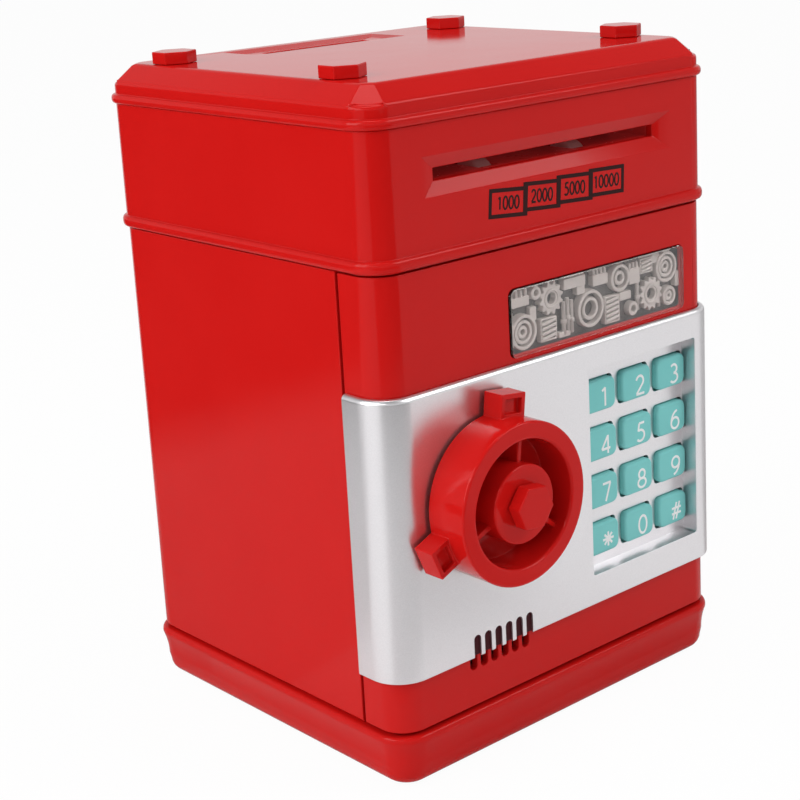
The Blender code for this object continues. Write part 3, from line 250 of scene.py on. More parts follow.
# Keypad
KEY_LABELS = ("1", "2", "3", "4", "5", "6", "7", "8", "9", "star", "0", "hash")
KEY_FLANGE = 1.25
KEY_FLANGE_THICK = 0.8
KEY_FLANGE_IN = 0.1
KEY_RADIUS = 2.2
KEY_ROUND = 0.8
KEY_STEPS = 6
KEY_GAP = (0.22, 0.35)
KEY_HOLE_RADIUS = 1.3
WELL, mat_half = node_face("keypad_mat")
WELL_HALF = wider(mat_half, SEAT)
WELL_DEPTH = 5.0
WELL_DRAFT = 0.12
WELL_RADIUS = 0.7
WELL_FLOOR = 1.2
WELL_WALL = 1.4
TUB_HALF = wider(WELL_HALF, WELL_WALL)
TUB_RADIUS = 1.0
TUB_REAR = node_box("keypad_board")[0].y - SEAT

# Dial
dial_low, dial_high = node_box("dial_knob")
shaft_middle = node_middle("dial_shaft")
DIAL = (shaft_middle.x, shaft_middle.z)
DIAL_TURN = math.radians(-7.0)
DIAL_REAR, DIAL_FRONT = dial_high.y, dial_low.y
DIAL_RADIUS = 21.9
DIAL_INNER = 17.1
DIAL_BACK = 2.0
DIAL_ROUND = 0.7
DIAL_MOUTH = 0.5
MOUTH_PAST = 0.01
HUB_RADIUS = 10.6
HUB_SUNK = 0.4
HUB_ROUND = 0.5
WEB_THICK = 1.5
WEB_SUNK = 3.2
WEB_ROOT = 2.0
LUG_COUNT = 3
LUG_HALF = 4.3
LUG_REACH = 6.0
LUG_TIP = DIAL_RADIUS + LUG_REACH
LUG_HEIGHT = 6.6
LUG_POCKET = 1.5
LUG_RIM = 1.4
NUT_FLATS = 10.9


# Outlines


def rounded_rect(half, radius, centre=(0.0, 0.0), segments=CORNER_SEGMENTS, flat=0.0):
    """Counter-clockwise rectangle with round corners; flat draws them towards straight facets."""
    points = []
    for k, (su, sv) in enumerate(((1, 1), (-1, 1), (-1, -1), (1, -1))):
        cu = centre[0] + su * (half[0] - radius)
        cv = centre[1] + sv * (half[1] - radius)
        ends = [math.pi / 2 * k, math.pi / 2 * (k + 1)]
        (u0, v0), (u1, v1) = [(math.cos(a), math.sin(a)) for a in ends]
        for i in range(segments + 1):
            share = i / segments
            angle = ends[0] + share * math.pi / 2
            u = math.cos(angle) * (1 - flat) + (u0 + share * (u1 - u0)) * flat
            v = math.sin(angle) * (1 - flat) + (v0 + share * (v1 - v0)) * flat
            points.append((cu + radius * u, cv + radius * v))
    return points


def soft_rect(half, radius, centre):
    return rounded_rect(half, radius, centre, SMALL_SEGMENTS)


def storey(size, grown):
    """Cabinet outline grown on every side, or shrunk where negative."""
    return rounded_rect(wider(size, grown), CORNER_RADIUS + grown)


def row_places(middle, pitch, count):
    return [middle + pitch * (i - (count - 1) / 2) for i in range(count)]


def circle(radius, centre=(0.0, 0.0), count=ROUND_POINTS, start=0.0):
    steps = [start + 2 * math.pi * i / count for i in range(count)]
    return [(centre[0] + radius * math.cos(a), centre[1] + radius * math.sin(a)) for a in steps]


def rectangle(u0, u1, v0, v1):
    return [(u0, v0), (u1, v0), (u1, v1), (u0, v1)]


def plain_rect(half, centre=(0.0, 0.0)):
    return rectangle(centre[0] - half[0], centre[0] + half[0], centre[1] - half[1], centre[1] + half[1])


def turned_points(points, angle, centre=(0.0, 0.0)):
    c, s = math.cos(angle), math.sin(angle)
    return [(centre[0] + c * u - s * v, centre[1] + s * u + c * v) for u, v in points]


def arc_points(centre, radii, start, end, count=14):
    """Points on an elliptic arc between two angles in degrees."""
    angles = [math.radians(start + (end - start) * i / count) for i in range(count + 1)]
    return [(centre[0] + radii[0] * math.cos(a), centre[1] + radii[1] * math.sin(a)) for a in angles]


def quarter(steps):
    """(cosine, sine) pairs over a quarter turn."""
    angles = [math.pi / 2 * i / steps for i in range(steps + 1)]
    return [(math.cos(a), math.sin(a)) for a in angles]


def bead_profile(low, height, out, power=2.6, steps=12):
    """(height, offset) pairs up a moulded bead with a slightly flattened face."""
    pairs = []
    for i in range(steps + 1):
        across = -math.cos(math.pi * i / steps)
        offset = out * (1 - abs(across) ** power) ** (1 / power)
        pairs.append((low + height * (1 + across) / 2, offset))
    return pairs


def flange_profile(low, height, out, steps=8):
    """(height, offset) pairs up a flange that swells from the wall below and rounds over on top."""
    swell = FLANGE_SWELL * height
    shares = [i / steps for i in range(steps + 1)]
    pairs = [(low + swell * share, out * share**2) for share in shares]
    rise, fall = FLANGE_ROUND
    for c, s in quarter(steps)[1:-1]:
        pairs.append((low + swell + (height - swell) * s**rise, out * c**fall))
    return pairs + [(low + height, 0.0)]


# Solids


def new_object(mesh, name="shape"):
    obj = bpy.data.objects.new(name, mesh)
    bpy.context.scene.collection.objects.link(obj)
    return obj


def evaluated_mesh(obj):
    bpy.context.view_layer.update()
    graph = bpy.context.evaluated_depsgraph_get()
    return bpy.data.meshes.new_from_object(obj.evaluated_get(graph))


def loft(sections, axis="Z"):
    """Closed solid through equal-length outlines, given as (outline, place) along the axis.

    Outlines are (x, y) for Z and (y, z) for X, with rising places. For Y they are (x, z) as
    seen from the front, with falling places.
    """
    count = len(sections[0][0])
    turn = {
        "Z": lambda u, v, w: (u, v, w),
        "X": lambda u, v, w: (w, u, v),
        "Y": lambda u, v, w: (u, w, v),
    }[axis]
    verts = [turn(u, v, w) for outline, w in sections for u, v in outline]
    last = (len(sections) - 1) * count
    faces = [tuple(reversed(range(count))), tuple(range(last, last + count))]
    for k in range(len(sections) - 1):
        for i in range(count):
            j = (i + 1) % count
            faces.append((k * count + i, k * count + j, (k + 1) * count + j, (k + 1) * count + i))
    mesh = bpy.data.meshes.new("shape")
    mesh.from_pydata(verts, [], faces)
    return new_object(mesh)


def prism(outline, low, high, axis="Z"):
    ends = (high, low) if axis == "Y" else (low, high)
    return loft([(outline, ends[0]), (outline, ends[1])], axis)


def box(x0, x1, y0, y1, z0, z1):
    return prism(rectangle(x0, x1, y0, y1), z0, z1)


def front_plate(half, radius, centre, near, far):
    """Plate with round corners that faces the front."""
    return prism(soft_rect(half, radius, centre), near, far, "Y")


def cylinder(radius, low, high, axis, centre, count=SMALL_POINTS):
    return prism(circle(radius, centre, count), low, high, axis)


def turned(profile, axis, centre, count=ROUND_POINTS):
    """Round piece from (radius, place) pairs along the axis through the centre."""
    return loft([(circle(radius, centre, count), place) for radius, place in profile], axis)


def rounded_end(radius, place, bend, toward, steps=5):
    """(radius, place) pairs that round a turned piece's end over to its flat face."""
    return [(radius - bend * (1 - c), place - toward * bend * (1 - s)) for c, s in quarter(steps)]


def rounded_face(half, radius, centre, front, bend, steps):
    """Sections that round a plate's edge over to its front face."""
    sections = []
    for c, s in quarter(steps):
        inset = bend * (1 - c)
        outline = soft_rect(wider(half, -inset), radius - inset, centre)
        sections.append((outline, front + bend * (1 - s)))
    return sections


def stack(size, profile):
    """Rounded cabinet storey whose outline grows by each (height, offset)."""
    return loft([(storey(size, grown), z) for z, grown in profile])


def apply_boolean(target, tools, operation):
    """Join or cut the target with each tool in turn; the tools are used up."""
    for tool in tools:
        modifier = target.modifiers.new(operation.lower(), "BOOLEAN")
        modifier.operation = operation
        modifier.object = tool
    mesh = evaluated_mesh(target)
    target.modifiers.clear()
    target.data = mesh
    for tool in tools:
        bpy.data.objects.remove(tool, do_unlink=True)
    return target


def join(target, *tools):
    return apply_boolean(target, tools, "UNION")


def cut(target, *tools):
    return apply_boolean(target, tools, "DIFFERENCE")


def gather(*shapes):
    """One object that holds several closed shapes as they are."""
    merged = bmesh.new()
    for shape in shapes:
        merged.from_mesh(shape.data)
        bpy.data.objects.remove(shape, do_unlink=True)
    mesh = bpy.data.meshes.new("shape")
    merged.to_mesh(mesh)
    merged.free()
    return new_object(mesh)


def tidy_mesh(obj):
    """Close hairline gaps that the cuts leave and clear edges and faces without size."""
    work = bmesh.new()
    work.from_mesh(obj.data)
    bmesh.ops.remove_doubles(work, verts=work.verts, dist=WELD)
    bmesh.ops.dissolve_degenerate(work, edges=work.edges, dist=WELD)
    work.to_mesh(obj.data)
    work.free()


def soften(obj, width, steps=EDGE_STEPS):
    """Rounded edges that catch the light, with flat faces kept flat in the shading."""
    bevel = obj.modifiers.new("soft_edges", "BEVEL")
    bevel.width = width * MM
    bevel.segments = steps
    bevel.limit_method = "ANGLE"
    bevel.angle_limit = EDGE_ANGLE
    bevel.use_clamp_overlap = False
    bevel.miter_outer = "MITER_ARC"
    even = obj.modifiers.new("even_shading", "WEIGHTED_NORMAL")
    even.weight = EDGE_WEIGHT
    even.keep_sharp = False


def wear(obj, finish):
    obj.data.materials.clear()
    obj.data.materials.append(finish)


def piece(obj, name, body, finish, nodes=(), edge=0.0, steps=EDGE_STEPS):
    """Finish a drawn shape: name, metres, soft edges, material, body and replaced nodes."""
    tidy_mesh(obj)
    obj.name = name
    obj.data.name = name
    obj.data.transform(Matrix.Scale(MM, 4))
    obj.data.shade_smooth()
    if edge:
        soften(obj, edge, steps)
    else:
        obj.data.set_sharp_from_angle(angle=SHARP_ANGLE)
    wear(obj, finish)
    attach(obj, body)
    if nodes:
        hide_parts(*nodes)


def dress_node(node, finish, edge):
    """Keep a node's own shape, with soft edges and a finished material."""
    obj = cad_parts[node]
    wear(obj, finish)
    if edge:
        weld = obj.modifiers.new("weld", "WELD")
        weld.merge_threshold = WELD * MM
        soften(obj, edge, FEW_STEPS)


# Shader nodes


def settle(node, **values):
    """Set a node's inputs by their labels, with underscores for spaces."""
    for label, value in values.items():
        node.inputs[label.replace("_", " ")].default_value = value


def feed(tree, socket, value):
    """Link an output socket to the input, or set the input to a plain value."""
    if isinstance(value, bpy.types.NodeSocket):
        tree.links.new(value, socket)
    else:
        socket.default_value = value


def math_node(tree, operation, first, second):
    """Math node whose two inputs are each an output socket or a number."""
    node = tree.nodes.new("ShaderNodeMath")
    node.operation = operation
    feed(tree, node.inputs[0], first)
    feed(tree, node.inputs[1], second)
    return node.outputs[0]


def coords_of(tree, kind="Object"):
    return tree.nodes.new("ShaderNodeTexCoord").outputs[kind]


def axes_of(tree, coords):
    axes = tree.nodes.new("ShaderNodeSeparateXYZ")
    tree.links.new(coords, axes.inputs["Vector"])
    return axes.outputs


def noise(tree, coords, scale, detail):
    node = tree.nodes.new("ShaderNodeTexNoise")
    tree.links.new(coords, node.inputs["Vector"])
    feed(tree, node.inputs["Scale"], scale)
    settle(node, Detail=detail)
    return node.outputs["Fac"]


def map_range(tree, value, **limits):
    node = tree.nodes.new("ShaderNodeMapRange")
    tree.links.new(value, node.inputs["Value"])
    settle(node, **limits)
    return node.outputs["Result"]


def ramp(tree, value, low, high):
    """Value spread from low..high to 0..1 and clamped."""
    return map_range(tree, value, From_Min=low, From_Max=high)


def between(tree, mask, low, high):
    return map_range(tree, mask, To_Min=low, To_Max=high)


def two_tone(tree, mask, first, second):
    """Colour that runs from the first to the second with the mask."""
    node = tree.nodes.new("ShaderNodeMix")
    node.data_type = "RGBA"
    tree.links.new(mask, node.inputs["Factor"])
    settle(node, A=(*first, 1.0), B=(*second, 1.0))
    return node.outputs["Result"]


def show_mix(tree, mask, first, second):
    """Surface that runs from the first shader to the second with the mask."""
    mix = tree.nodes.new("ShaderNodeMixShader")
    for socket, value in zip(mix.inputs, (mask, first, second)):
        tree.links.new(value, socket)
    tree.links.new(mix.outputs["Shader"], tree.nodes["Material Output"].inputs["Surface"])


# Node groups of the finishes

MOTTLE_SCALE = 38.0
MOTTLE_LEVELS = (0.3, 0.7)
SPECK_SCALE = 900.0
SPECK_LEVELS = (0.74, 0.80)
SPECK_ROUGH = 0.12
FLAKE_SCALE = 5200.0


def new_group(name, inputs, outputs):
    group = bpy.data.node_groups.new(name, "ShaderNodeTree")
    for label, value in inputs:
        socket = group.interface.new_socket(label, in_out="INPUT", socket_type="NodeSocketFloat")
        socket.default_value = value
    for label in outputs:
        group.interface.new_socket(label, in_out="OUTPUT", socket_type="NodeSocketFloat")
    return group, group.nodes.new("NodeGroupInput"), group.nodes.new("NodeGroupOutput")


def moulded_skin():
    """Skin of a moulded or painted part: slow ripple, fine grain, mottled gloss and dust specks."""
    inputs = (("Ripple Scale", 90.0), ("Grain Scale", 2500.0), ("Grain Share", 0.1))
    group, given, out = new_group("moulded_skin", inputs, ("Height", "Mottle", "Specks"))
    coords = coords_of(group)
    ripple = noise(group, coords, given.outputs["Ripple Scale"], 2.0)
    grain = noise(group, coords, given.outputs["Grain Scale"], 3.0)
    shared = math_node(group, "MULTIPLY", grain, given.outputs["Grain Share"])
    group.links.new(math_node(group, "ADD", ripple, shared), out.inputs["Height"])
    mottle = noise(group, coords, MOTTLE_SCALE, 5.0)
    group.links.new(ramp(group, mottle, *MOTTLE_LEVELS), out.inputs["Mottle"])
    dust = noise(group, coords, SPECK_SCALE, 1.0)
    group.links.new(ramp(group, dust, *SPECK_LEVELS), out.inputs["Specks"])
    return group


def paint_flake():
    """Metal flake in sprayed silver paint, as bright and dim cells."""
    group, given, out = new_group("paint_flake", (("Flake Scale", FLAKE_SCALE),), ("Sparkle",))
    cells = group.nodes.new("ShaderNodeTexVoronoi")
    group.links.new(coords_of(group), cells.inputs["Vector"])
    group.links.new(given.outputs["Flake Scale"], cells.inputs["Scale"])
    split = group.nodes.new("ShaderNodeSeparateColor")
    group.links.new(cells.outputs["Color"], split.inputs["Color"])
    group.links.new(split.outputs["Red"], out.inputs["Sparkle"])
    return group


SKIN = moulded_skin()
FLAKE = paint_flake()


# Finishes

SILVER_TONES = ((0.745, 0.728, 0.745), (0.795, 0.778, 0.795))
SILVER_GLOSS = (0.28, 0.31)
SILVER_METAL = 0.94
SILVER_RIPPLE = 0.012
WINDOW_TINT = (0.93, 0.915, 0.91, 1.0)
WINDOW_SHADOW = (0.90, 0.885, 0.88, 1.0)
WINDOW_GLOSS = (0.03, 0.10)
WINDOW_BEND = 1.46
WINDOW_RIPPLE = 0.01


def new_finish(name):
    finish = bpy.data.materials.new(name)
    finish.use_nodes = True
    return finish, finish.node_tree, finish.node_tree.nodes["Principled BSDF"]


def place_group(tree, group, **values):
    node = tree.nodes.new("ShaderNodeGroup")
    node.node_tree = group
    settle(node, **values)
    return node.outputs


def bump(tree, shader, height, distance):
    node = tree.nodes.new("ShaderNodeBump")
    settle(node, Distance=distance * MM, Strength=1.0)
    tree.links.new(height, node.inputs["Height"])
    tree.links.new(node.outputs["Normal"], shader.inputs["Normal"])


def moulded(name, colour, shade, gloss, ripple=0.02, grain_scale=2500.0, grain=0.08, shine=0.5, metal=0.0):
    """Moulded or painted surface: two near colours, mottled gloss and a fine skin."""
    finish, tree, shader = new_finish(name)
    skin = place_group(tree, SKIN, Grain_Scale=grain_scale, Grain_Share=grain)
    tone = two_tone(tree, skin["Mottle"], colour, shade)
    tree.links.new(tone, shader.inputs["Base Color"])
    rough = between(tree, skin["Mottle"], *gloss)
    dusty = math_node(tree, "ADD", rough, between(tree, skin["Specks"], 0.0, SPECK_ROUGH))
    tree.links.new(dusty, shader.inputs["Roughness"])
    settle(shader, Specular_IOR_Level=shine, Metallic=metal)
    bump(tree, shader, skin["Height"], ripple)
    return finish


def silver_paint():
    """Satin silver paint with fine metal flake over moulded plastic."""
    finish, tree, shader = new_finish("satin_silver_paint")
    skin = place_group(tree, SKIN, Grain_Scale=3200.0, Grain_Share=0.25)
    flake = place_group(tree, FLAKE)
    tone = two_tone(tree, flake["Sparkle"], *SILVER_TONES)
    tree.links.new(tone, shader.inputs["Base Color"])
    tree.links.new(between(tree, skin["Mottle"], *SILVER_GLOSS), shader.inputs["Roughness"])
    settle(shader, Metallic=SILVER_METAL)
    bump(tree, shader, skin["Height"], SILVER_RIPPLE)
    return finish


def window_plastic():
    """Clear smoky plastic that lets the lamps reach what is behind it."""
    finish, tree, shader = new_finish("smoky_clear_plastic")
    skin = place_group(tree, SKIN, Ripple_Scale=60.0)
    settle(shader, Base_Color=WINDOW_TINT, Transmission_Weight=1.0, IOR=WINDOW_BEND)
    tree.links.new(between(tree, skin["Specks"], *WINDOW_GLOSS), shader.inputs["Roughness"])
    bump(tree, shader, skin["Height"], WINDOW_RIPPLE)
    path = tree.nodes.new("ShaderNodeLightPath")
    clear = tree.nodes.new("ShaderNodeBsdfTransparent")
    settle(clear, Color=WINDOW_SHADOW)
    show_mix(tree, path.outputs["Is Shadow Ray"], shader.outputs["BSDF"], clear.outputs["BSDF"])
    return finish


def finish_with_painted_glow(name, gloss, colour, shade, glow, glow_shade):
    """Surface inside the thin red walls, with a painted glow: an emission that stands in for the light
    coming through the walls.
    """
    finish = moulded(name, colour, shade, gloss, shine=0.15)
    tree = finish.node_tree
    shader = tree.nodes["Principled BSDF"]
    skin = place_group(tree, SKIN, Ripple_Scale=70.0)
    # Painted glow: red emission in place of light through the red walls
    tone = two_tone(tree, skin["Mottle"], glow, glow_shade)
    tree.links.new(tone, shader.inputs["Emission Color"])
    settle(shader, Emission_Strength=1.0)
    return finish


# Colour, its shade, painted glow and the glow's shade of the finishes inside the red walls; the glow stands
# in for light through the walls, and the vent sheet's dark red is painted shade
GUIDE_COLOURS = ((0.40, 0.007, 0.006), (0.46, 0.008, 0.007), (0.03, 0.0025, 0.0025), (0.06, 0.004, 0.004))
VENT_SHADE_COLOURS = ((0.022, 0.005, 0.006), (0.030, 0.007, 0.008), (0.014, 0.002, 0.003), (0.022, 0.003, 0.005))
ROLLER_COLOURS = ((0.46, 0.36, 0.35), (0.52, 0.41, 0.40), (0.020, 0.003, 0.003), (0.030, 0.004, 0.004))
GUIDE_RED_PAINTED_GLOW = finish_with_painted_glow("red_plastic_painted_glow", (0.2, 0.3), *GUIDE_COLOURS)
VENT_SHADE_FINISH = finish_with_painted_glow("painted_vent_shade", (0.6, 0.8), *VENT_SHADE_COLOURS)
ROLLER_RUBBER_PAINTED_GLOW = finish_with_painted_glow("pale_roller_rubber_painted_glow", (0.5, 0.65), *ROLLER_COLOURS)
RED = moulded(
    "red_gloss_plastic", (0.535, 0.0075, 0.0065), (0.555, 0.0085, 0.0072), (0.08, 0.12), shine=0.13
)
SILVER = silver_paint()
AQUA = moulded(
    "aqua_satin_plastic", (0.185, 0.575, 0.56), (0.205, 0.60, 0.585), (0.42, 0.52), 0.03, 1800.0, 0.4, 0.3
)
WHITE_PRINT = moulded("white_key_print", (0.80, 0.82, 0.82), (0.86, 0.87, 0.87), (0.45, 0.55))
# Very dark red on the feeder frame: painted shade of the red housing seen through the bill slot
SLOT_SHADE_RED = moulded("painted_slot_shade_red", (0.10, 0.006, 0.006), (0.12, 0.008, 0.008), (0.3, 0.4), shine=0.2)
DARK_PRINT = moulded(
    "black_label_print", (0.026, 0.007, 0.007), (0.034, 0.009, 0.009), (0.45, 0.6), shine=0.1
)
WINDOW_CLEAR = window_plastic()
RELIEF = moulded(
    "grey_beige_plastic", (0.64, 0.59, 0.565), (0.70, 0.65, 0.62), (0.32, 0.42), 0.03, 1800.0, 0.3
)
RELIEF_DARK = moulded("dark_relief_ground", (0.11, 0.10, 0.097), (0.14, 0.128, 0.124), (0.3, 0.42), 0.03)
DARK_RUBBER = moulded("black_key_mat", (0.028, 0.028, 0.028), (0.036, 0.036, 0.036), (0.6, 0.75), 0.05)
NYLON = moulded("white_nylon", (0.74, 0.73, 0.69), (0.80, 0.79, 0.75), (0.38, 0.48), 0.03)
BLACK = moulded("black_plastic", (0.018, 0.018, 0.018), (0.028, 0.028, 0.028), (0.35, 0.5), 0.04)
STEEL = moulded("bright_steel", (0.56, 0.56, 0.57), (0.64, 0.64, 0.65), (0.24, 0.34), 0.02, metal=1.0)
BOARD = moulded("green_circuit_board", (0.022, 0.125, 0.048), (0.035, 0.17, 0.065), (0.32, 0.45), 0.03)


# Base and rear case


def lip_ring(low, high):
    """Locating ring inside the lower body's walls, left out along the door's opening."""
    inset = WALL + LIP_GAP
    return cut(
        prism(storey(BODY, -inset), low, high),
        prism(storey(BODY, -inset - LIP_WALL), low - PAST, high + PAST),
        box(-FAR, FAR, -FAR, LIP_FRONT, low - PAST, high + PAST),
    )


def make_base():
    rounding = [
        (BASE_LOW + BASE_ROUND * (1 - s), -BASE_DRAFT - BASE_ROUND * (1 - c))
        for c, s in reversed(quarter(BASE_STEPS))
    ]
    bead = flange_profile(BASE_TOP - BASE_FLANGE, BASE_FLANGE, BASE_BEAD_OUT)
    tray = stack(BODY, rounding + bead)
    mid_deck = BASE_TOP - DECK / 2
    bay_rear = lid_high.y + SEAT
    bay = (lid_low.x - SEAT, lid_high.x + SEAT, bay_rear - BAY_DEPTH, bay_rear)
    around = (bay[0] - BAY_WALL, bay[1] + BAY_WALL, bay[2] - BAY_WALL, bay[3] + BAY_WALL)
    hump = box(*around, mid_deck, HUMP_TOP)
    tray = cut(
        join(tray, hump, lip_ring(mid_deck, BASE_TOP + LIP_HEIGHT)),
        prism(storey(BODY, -BASE_WALL), -PAST, DECK_LOW),
        box(*bay, DECK_LOW - PAST, HUMP_TOP - BAY_WALL),
        cylinder(PIN_RADIUS + SEAT, DOOR_LOW - PIN_LENGTH - SEAT, BASE_TOP + PAST, "Z", HINGE),
    )
    piece(tray, "base_shell", "cabinet", RED, ("base_tray",), edge=0.3)


def make_rear_case():
    case = cut(
        stack(BODY, [(CASE_LOW, -CASE_CHAMFER), (CASE_LOW + CASE_CHAMFER, 0), (CASE_TOP, 0)]),
        prism(storey(BODY, -WALL), CASE_LOW - PAST, CASE_TOP + PAST),
        box(-FAR, FAR, -FAR, CASE_FRONT, 0, FAR),
    )
    piece(case, "case_shell", "cabinet", RED, ("rear_case",), edge=0.3)


# Upper housing and top cover


def slot_mouth():
    """Recess with sloped walls that narrows to the bill slot."""
    front = HOUSING_FRONT
    slot = rectangle(-SLOT_HALF, SLOT_HALF, SLOT_LOW, SLOT_HIGH)
    reach = SLOT_HALF + SLOT_RIM
    recess = rectangle(-reach, reach, SLOT_Z - SLOT_RIM_LOW, SLOT_Z + SLOT_RIM)
    return loft([(slot, front + SLOT_DEPTH), (recess, front), (recess, front - PAST)], "Y")


def make_upper_housing():
    bead = bead_profile(HOUSING_LOW + MID_BEAD_LIFT, MID_BEAD_HEIGHT, MID_BEAD_OUT)
    top = COVER_LOW - SEAM
    shell = stack(HOUSING, [(HOUSING_LOW, 0)] + bead + [(top, 0)])
    shell = cut(shell, prism(storey(HOUSING, -WALL), HOUSING_FLOOR, top + PAST))
    front = HOUSING_FRONT
    block_x = SLOT_HALF + SLOT_RIM + SLOT_BLOCK_EDGE
    block_low, block_high = SLOT_Z - SLOT_RIM_LOW - SLOT_BLOCK_EDGE, SLOT_Z + SLOT_RIM + SLOT_BLOCK_EDGE
    block = box(-block_x, block_x, front + WALL / 2, front + SLOT_BLOCK, block_low, block_high)
    board_low, board_high = node_box("control_board")
    rest_span = (HOUSING_FLOOR - PAST, board_low.z - SEAT)
    rests = [
        box(board_low.x, board_high.x, y - REST_HALF, y + REST_HALF, *rest_span)
        for y in (board_low.y + REST_IN, board_high.y - REST_IN)
    ]
    below, above = HOUSING_LOW - PAST, HOUSING_FLOOR + PAST
    shell = cut(
        join(shell, block, lip_ring(HOUSING_LOW - LIP_HEIGHT, HOUSING_LOW + PAST), *rests),
        slot_mouth(),
        box(-SLOT_HALF, SLOT_HALF, front - PAST, front + SLOT_BLOCK + PAST, SLOT_LOW, SLOT_HIGH),
        box(-DROP_HALF_X, DROP_HALF_X, DROP_FRONT, DROP_REAR, below, above),
        cylinder(PIN_RADIUS + SEAT, below, above, "Z", HINGE),
    )
    piece(shell, "housing_shell", "cabinet", RED, ("upper_housing",), edge=0.22)


def make_bill_guide():
    """Lips behind the slot that lead a bill between the rollers."""
    near, far = HOUSING_FRONT + SLOT_BLOCK, GUIDE_REAR
    low, high = SLOT_LOW - GUIDE_THICK, SLOT_HIGH + GUIDE_THICK
    reach = SLOT_HALF + GUIDE_THICK
    guide = box(-reach, reach, near, far, low, high)
    channel = box(-SLOT_HALF, SLOT_HALF, near - PAST, far + PAST, SLOT_LOW, SLOT_HIGH)
    notches = []
    for i in (1, 2):
        first, last = node_box(f"drive_roller_{i}")
        room = (first.x - GUIDE_ROOM, last.x + GUIDE_ROOM, first.y - GUIDE_ROOM, far + PAST)
        notches.append(box(*room, low - PAST, high + PAST))
    guide = cut(guide, channel, *notches)
    piece(guide, "bill_guide", "cabinet", GUIDE_RED_PAINTED_GLOW, edge=0.15)


def cover_lip():
    """Locating ring under the cover that fits inside the housing's walls."""
    out = WALL + LIP_GAP
    in_wall = WALL - LIP_WALL / 2
    profile = [
        (COVER_LOW - LIP_HEIGHT, -out),
        (COVER_LOW, -out),
        (COVER_LOW + LIP_WALL / 2, -in_wall),
        (COVER_LOW + LIP_HEIGHT, -in_wall),
    ]
    hole = storey(HOUSING, -out - LIP_WALL)
    return cut(stack(HOUSING, profile), prism(hole, COVER_LOW - 2 * LIP_HEIGHT, COVER_LOW + 2 * LIP_HEIGHT))


def make_top_cover():
    bead = bead_profile(COVER_LOW, TOP_BEAD_HEIGHT, TOP_BEAD_OUT)
    sections = [(storey(HOUSING, grown), z) for z, grown in bead]
    for lift, inset, radius, flat in HIP_TURNS:
        sections.append((rounded_rect(wider(HOUSING, -inset), radius, flat=flat), HIP_LOW + lift))
    hip_rise = (CEILING - HIP_LOW + PAST) * HIP_SLOPE
    inside = [(COVER_LOW - PAST, -WALL), (HIP_LOW - PAST, -WALL), (CEILING, -WALL - hip_rise)]
    cover = join(cut(loft(sections), stack(HOUSING, inside)), cover_lip())
    dish_low = plain_rect(wider(COIN_DISH, -COIN_DISH_SLOPE), COIN)
    dish_high = plain_rect(COIN_DISH, COIN)
    dish = loft([(dish_low, TOP - COIN_DISH_DEPTH), (dish_high, TOP), (dish_high, TOP + PAST)])
    slit = prism(plain_rect(COIN_HALF, COIN), CEILING - PAST, TOP + PAST)
    piece(cut(cover, dish, slit), "cover_shell", "cabinet", RED, ("top_cover",), edge=0.25)


def make_corner_bolts():
    """Hexagonal bolt heads on the top's corners, each with a round shank."""
    for i in range(1, 5):
        node = f"corner_bolt_{i}"
        low, high = node_box(node)
        spot = node_middle(node)
        head_low = TOP + SEAM
        head = prism(circle((high.y - low.y) / 2, (spot.x, spot.y), 6, math.pi / 2), head_low, high.z)
        shank = cylinder(BOLT_SHANK, low.z, head_low + PAST, "Z", (spot.x, spot.y))
        piece(join(head, shank), f"top_bolt_{i}", "cabinet", RED, (node,), edge=0.3)


# Door


def vent_cutters(near, far):
    half = (VENT_HALF, VENT_REACH)
    places = row_places(VENT_X, VENT_PITCH, VENT_COUNT)
    return [front_plate(half, VENT_ROUND * VENT_HALF, (x, VENT_MIDDLE), near, far) for x in places]


def make_door():
    door = cut(
        prism(storey(BODY, 0), DOOR_LOW, DOOR_TOP),
        prism(storey(BODY, -DOOR_WALL), DOOR_LOW + DOOR_RIM, DOOR_TOP - DOOR_RIM),
        box(-FAR, FAR, DOOR_REAR, FAR, 0, FAR),
    )
    door = join(
        door,
        cylinder(PIN_RADIUS, DOOR_TOP - DOOR_RIM / 2, DOOR_TOP + PIN_LENGTH, "Z", HINGE),
        cylinder(PIN_RADIUS, DOOR_LOW - PIN_LENGTH, DOOR_LOW + DOOR_RIM / 2, "Z", HINGE),
    )
    tub_x, tub_z = wider(TUB_HALF, SEAT)
    near, far = DOOR_FRONT - PAST, DOOR_INNER + PAST
    lens_half, ledge_half = wider(WINDOW_HALF, SEAM), wider(WINDOW_HALF, -LEDGE_WIDTH)
    door = cut(
        door,
        box(WELL[0] - tub_x, WELL[0] + tub_x, near, far, WELL[1] - tub_z, WELL[1] + tub_z),
        front_plate(lens_half, WINDOW_RADIUS + SEAM, WINDOW, near, DOOR_FRONT + LEDGE_DEPTH),
        front_plate(ledge_half, LEDGE_RADIUS, WINDOW, near, far),
        cylinder(SHAFT_ROOM, near, far, "Y", DIAL),
        *vent_cutters(near, far),
    )
    piece(door, "door_front_shell", "door", RED, ("door_shell",), edge=0.25)


def key_hole(label, near, far):
    spot, half = node_face(f"key_{label}")
    room = (half[0] + KEY_GAP[0], half[1] - KEY_FLANGE + KEY_GAP[1])
    return front_plate(room, KEY_HOLE_RADIUS, spot, near, far)


